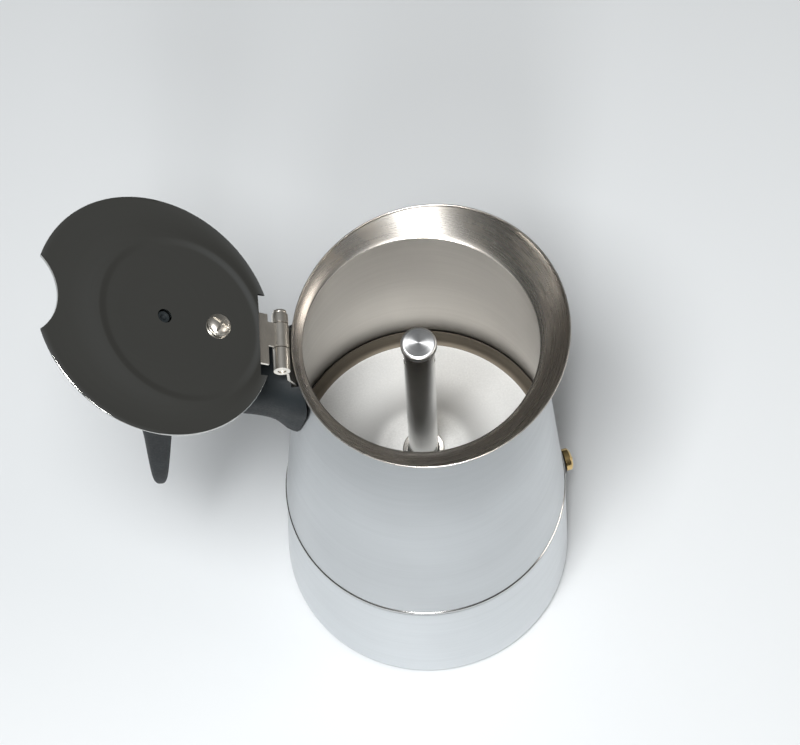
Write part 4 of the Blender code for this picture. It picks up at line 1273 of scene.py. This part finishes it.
class MOKA_OT_knob(bpy.types.Operator):
    """Build the lid's moulded knob"""

    bl_idname = "moka.knob"
    bl_label = "Knob"

    def execute(self, context):
        low = -LID_DROP + LID_THICKNESS + DISH_HEIGHT + LEAF_THICKNESS + 2 * GAP
        stages = [
            (0.0, 0.04),
            (0.02, 0.0),
            (0.3, 0.25),
            (0.55, 0.5),
            (0.75, 0.62),
            (0.9, 0.85),
            (0.97, 1.2),
            (1.0, 1.75),
        ]
        rings = []
        for rise, share in curve_through(stages, 3):
            length = KNOB_LENGTH * (1 - 0.16 * share) / 2
            width = KNOB_WIDTH * (1 - 0.30 * share) / 2
            centre = 0.5 * (SCREW_AT + PEG_AT) + 1.5 * MM * share
            height = low + KNOB_HEIGHT * rise
            rings.append(
                [
                    (centre + length * squared(c, 0.5), width * squared(s, 0.5), height)
                    for c, s in around(PIECE_STEPS)
                ]
            )
        mesh = finish_mesh("knob_grip", skin(rings, False))
        peg_low = -LID_DROP + DISH_HEIGHT
        outline = [
            (0.0, low + 1 * MM),
            (PEG_RADIUS, low + 1 * MM),
            (PEG_RADIUS, peg_low - 0.1 * MM),
            (0.55 * PEG_RADIUS, peg_low - 0.1 * MM),
            (0.3 * PEG_RADIUS, peg_low + 0.8 * MM),
            (0.0, peg_low + 0.8 * MM),
        ]
        peg = finish_mesh("knob_peg", turn_profile(rounded(outline, 0.3 * MM), 40))
        add_piece("knob_grip", mesh, "lid", "plastic", ["lid_knob"], LID_FRAME)
        place = LID_FRAME @ Matrix.Translation((PEG_AT, 0.0, 0.0))
        add_piece("knob_peg", peg, "lid", "plastic", [], place)
        return {"FINISHED"}


class MOKA_OT_hinge(bpy.types.Operator):
    """Finish the hinge's leaves and pin"""

    bl_idname = "moka.hinge"
    bl_label = "Hinge"

    def execute(self, context):
        for node in ("hinge_leaf_pot", "hinge_leaf_lid", "hinge_pin"):
            soften_solid(node, "hinge", 0.14 * MM)
        return {"FINISHED"}


class MOKA_OT_handle(bpy.types.Operator):
    """Build the moulded handle and finish what holds it"""

    bl_idname = "moka.handle"
    bl_label = "Handle"

    def section(self, x, z, lean, half_height, wide_top, wide_low):
        """A ring across the handle, leaning by some degrees, with two half widths."""
        turn_down = math.radians(lean)
        ring = []
        for c, s in around(PIECE_STEPS):
            up = squared(s, 0.62)
            side = squared(c, 0.62)
            width = wide_low + (wide_top - wide_low) * (up + 1) / 2
            offset = half_height * up
            ring.append(
                (x - offset * math.sin(turn_down), side * width, z + offset * math.cos(turn_down))
            )
        return ring

    def execute(self, context):
        root = HANDLE_ROOT_WIDTH / 2
        arm = HANDLE_ARM_WIDTH / 2
        top = HANDLE_ROOT_TOP
        half = HANDLE_ROOT_HEIGHT / 2
        near = straight_radius(top)
        reach = HANDLE_REACH
        drop = top - HANDLE_FOOT
        sections = [
            (-near + 5 * MM, top - half, 0, half, 1.12 * root, 0.62 * root),
            (-near - 3.5 * MM, top - half, 0, half, 0.95 * root, 0.55 * root),
            (-near - 8.5 * MM, top - 0.76 * half, 0, 0.72 * half, 0.78 * root, 0.55 * root),
            (-near - 14 * MM, top - 0.67 * half, 0, 0.56 * half, 0.68 * root, 0.56 * root),
            (-near - 21 * MM, top - 0.64 * half, 0, 0.48 * half, 1.1 * arm, arm),
            (-reach + 20 * MM, top - 0.68 * half, 6, 0.45 * half, arm, 0.96 * arm),
            (-reach + 12.5 * MM, top - 0.80 * half, 26, 0.43 * half, 0.97 * arm, 0.94 * arm),
            (-reach + 7.3 * MM, top - 1.06 * half, 52, 0.37 * half, 0.94 * arm, 0.92 * arm),
            (-reach + 4.5 * MM, top - 0.37 * drop, 76, 0.27 * half, 0.9 * arm, 0.9 * arm),
            (-reach + 3.3 * MM, top - 0.52 * drop, 84, 0.22 * half, 0.84 * arm, 0.84 * arm),
            (-reach + 1.9 * MM, top - 0.71 * drop, 84, 0.18 * half, 0.78 * arm, 0.78 * arm),
            (-reach + 0.8 * MM, top - 0.86 * drop, 86, 0.145 * half, 0.68 * arm, 0.68 * arm),
            (-reach + 0.2 * MM, top - 0.95 * drop, 88, 0.11 * half, 0.5 * arm, 0.5 * arm),
            (-reach, top - drop, 90, 0.05 * half, 0.3 * arm, 0.3 * arm),
        ]
        rings = [self.section(*values) for values in curve_through(sections, 4)]
        mesh = finish_mesh("handle_grip", skin(rings, False))
        low = BRACKET_FOOT - 12 * MM
        high = WAIST_HEIGHT
        outline = [
            (0.0, high),
            (straight_radius(high) + GAP, high),
            (straight_radius(low) + GAP, low),
            (0.0, low),
        ]
        saddle = finish_mesh("saddle", turn_profile(outline, 144))
        depth = 4 * GAP + LEAF_THICKNESS
        side = HINGE_LENGTH / 2 + GAP
        corners = ((0.0, -side), (6 * MM, -side), (6 * MM, side), (0.0, side))
        rings = [
            [(-straight_radius(z) - depth + out, y, z) for out, y in corners]
            for z in (BRACKET_FOOT - 8 * MM, WAIST_HEIGHT + 2 * MM)
        ]
        pocket = finish_mesh("pocket", skin(rings, False))
        mesh = carve(mesh, [saddle, pocket])
        sharpen(mesh, 45)
        add_piece("handle_grip", mesh, "upper", "plastic", ["handle"])
        soften_solid("handle_bracket", "hinge", 0.15 * MM)
        soften_solid("handle_screw", "column", 0.15 * MM)
        return {"FINISHED"}


class MOKA_OT_valve(bpy.types.Operator):
    """Finish the safety valve"""

    bl_idname = "moka.valve"
    bl_label = "Safety valve"

    def execute(self, context):
        for node, finish, width in (
            ("valve_washer", "washer", 0.12),
            ("valve_body", "brass", 0.16),
            ("valve_nut", "brass", 0.16),
            ("valve_pin", "brass", 0.08),
            ("valve_spring", "column", 0.0),
        ):
            soften_solid(node, finish, width * MM)
        return {"FINISHED"}


class MOKA_OT_inside(bpy.types.Operator):
    """Finish the collar, the gasket, the filter plate and the funnel"""

    bl_idname = "moka.inside"
    bl_label = "Inner pieces"

    def execute(self, context):
        for node, finish, width in (
            ("collar", "hidden", 0.12),
            ("gasket", "gasket", 0.2),
            ("filter_plate", "hidden", 0.1),
            ("funnel", "hidden", 0.1),
            ("funnel_screen", "hidden", 0.1),
        ):
            soften_solid(node, finish, width * MM)
        return {"FINISHED"}


class MOKA_OT_stage(bpy.types.Operator):
    """Build the floor, the lights, the surroundings and the camera"""

    bl_idname = "moka.stage"
    bl_label = "Stage"

    def add_light(self, name, place, size, colour, power):
        light = bpy.data.lights.new(name, "AREA")
        light.shape = "RECTANGLE"
        light.size, light.size_y = size
        light.energy = power
        light.color = colour
        obj = bpy.data.objects.new(name, light)
        obj.location = place
        aim = Vector(LIGHTS_AIM) - Vector(place)
        obj.rotation_euler = aim.to_track_quat("-Z", "Y").to_euler()
        bpy.context.scene.collection.objects.link(obj)

    def add_floor(self, colour):
        work = bmesh.new()
        bmesh.ops.create_grid(work, x_segments=8, y_segments=8, size=TABLE_HALF_WIDTH)
        mesh = bpy.data.meshes.new("table_top")
        work.to_mesh(mesh)
        work.free()
        obj = bpy.data.objects.new("table_top", mesh)
        bpy.context.scene.collection.objects.link(obj)
        material, tree, shader = start_material("pale_table")
        hands = place_group(tree, "Handling Marks", Size=3.0)
        colours = blend_colours(tree, hands.outputs["Patches"], colour, scaled(colour, 0.985))
        tree.links.new(colours, shader.inputs["Base Color"])
        tree.links.new(
            span(tree, hands.outputs["Smears"], 0.0, 1.0, 0.5, 0.56), shader.inputs["Roughness"]
        )
        mesh.materials.append(material)

    def add_world(self):
        world = bpy.data.worlds.new("Studio")
        world.use_nodes = True
        tree = world.node_tree
        tree.nodes.clear()
        out = tree.nodes.new("ShaderNodeOutputWorld")
        ramp = tree.nodes.new("ShaderNodeValToRGB")
        tree.links.new(axes_of(tree, "Generated")[2], ramp.inputs[0])
        while len(ramp.color_ramp.elements) < len(SKY):
            ramp.color_ramp.elements.new(0.5)
        for element, (position, colour) in zip(ramp.color_ramp.elements, SKY):
            element.position = position
            element.color = (*colour, 1.0)
        room = tree.nodes.new("ShaderNodeBackground")
        tree.links.new(ramp.outputs[0], room.inputs["Color"])
        room.inputs["Strength"].default_value = 1.0
        seen = tree.nodes.new("ShaderNodeBackground")
        seen.inputs["Color"].default_value = BACKDROP
        seen.inputs["Strength"].default_value = 1.0
        path = tree.nodes.new("ShaderNodeLightPath")
        mix = tree.nodes.new("ShaderNodeMixShader")
        tree.links.new(path.outputs["Is Camera Ray"], mix.inputs[0])
        tree.links.new(room.outputs[0], mix.inputs[1])
        tree.links.new(seen.outputs[0], mix.inputs[2])
        tree.links.new(mix.outputs[0], out.inputs[0])
        bpy.context.scene.world = world

    def add_camera(self, stage):
        camera = bpy.data.cameras.new("view")
        camera.lens = stage.lens
        camera.sensor_width = SENSOR_WIDTH
        camera.clip_start = 0.01
        camera.clip_end = 30.0
        obj = bpy.data.objects.new("view", camera)
        ahead = Vector((0.0, math.cos(stage.view_elevation), -math.sin(stage.view_elevation)))
        target = Vector(VIEW_TARGET)
        side = Vector((1.0, 0.0, 0.0))
        upward = side.cross(ahead)
        roll = stage.view_roll
        right = side * math.cos(roll) + upward * math.sin(roll)
        up = upward * math.cos(roll) - side * math.sin(roll)
        axes = Matrix((right, up, -ahead)).transposed().to_4x4()
        obj.matrix_world = Matrix.Translation(target - ahead * stage.view_distance) @ axes
        bpy.context.scene.collection.objects.link(obj)
        bpy.context.scene.camera = obj

    def execute(self, context):
        stage = context.scene.pot_stage
        self.add_floor(tuple(stage.table))
        for name, place, size, colour in LIGHTS:
            self.add_light(name, place, size, colour, getattr(stage, f"{name}_power"))
        self.add_world()
        self.add_camera(stage)
        context.scene.view_settings.view_transform = "Standard"
        return {"FINISHED"}


class MOKA_PT_panel(bpy.types.Panel):
    """Lists the settings and the operators"""

    bl_idname = "MOKA_PT_panel"
    bl_label = "Moka Pot"
    bl_space_type = "VIEW_3D"
    bl_region_type = "UI"
    bl_category = "Moka Pot"

    def draw(self, context):
        layout = self.layout
        for holder, keys in SHOWN_SETTINGS.items():
            box = layout.box()
            for key in keys:
                box.prop(getattr(context.scene, holder), key)
        for operator in OPERATORS:
            layout.operator(operator.bl_idname)


SHOWN_SETTINGS = {
    "pot_vessel": ("steps", "steel", "warm_steel", "blasted_steel"),
    "pot_lid": ("crown", "dish", "mirror"),
    "pot_handle": ("plastic", "grain"),
    "pot_valve": ("brass", "rubber"),
    "pot_stage": (
        "table",
        "key_power",
        "front_power",
        "side_power",
        "view_distance",
        "view_elevation",
        "view_roll",
        "lens",
    ),
}
GROUPS = {
    "pot_vessel": VesselSettings,
    "pot_lid": LidSettings,
    "pot_handle": HandleSettings,
    "pot_valve": ValveSettings,
    "pot_stage": StageSettings,
}
OPERATORS = (
    MOKA_OT_boiler,
    MOKA_OT_upper_vessel,
    MOKA_OT_chamber,
    MOKA_OT_lid,
    MOKA_OT_knob,
    MOKA_OT_hinge,
    MOKA_OT_handle,
    MOKA_OT_valve,
    MOKA_OT_inside,
    MOKA_OT_stage,
)


def register():
    for holder, group in GROUPS.items():
        bpy.utils.register_class(group)
        setattr(bpy.types.Scene, holder, PointerProperty(type=group))
    for operator in OPERATORS:
        bpy.utils.register_class(operator)
    bpy.utils.register_class(MOKA_PT_panel)


def unregister():
    bpy.utils.unregister_class(MOKA_PT_panel)
    for operator in reversed(OPERATORS):
        bpy.utils.unregister_class(operator)
    for holder, group in reversed(list(GROUPS.items())):
        delattr(bpy.types.Scene, holder)
        bpy.utils.unregister_class(group)


def main():
    register()
    for operator in OPERATORS:
        family, name = operator.bl_idname.split(".")
        getattr(getattr(bpy.ops, family), name)()


if __name__ == "__main__":
    main()
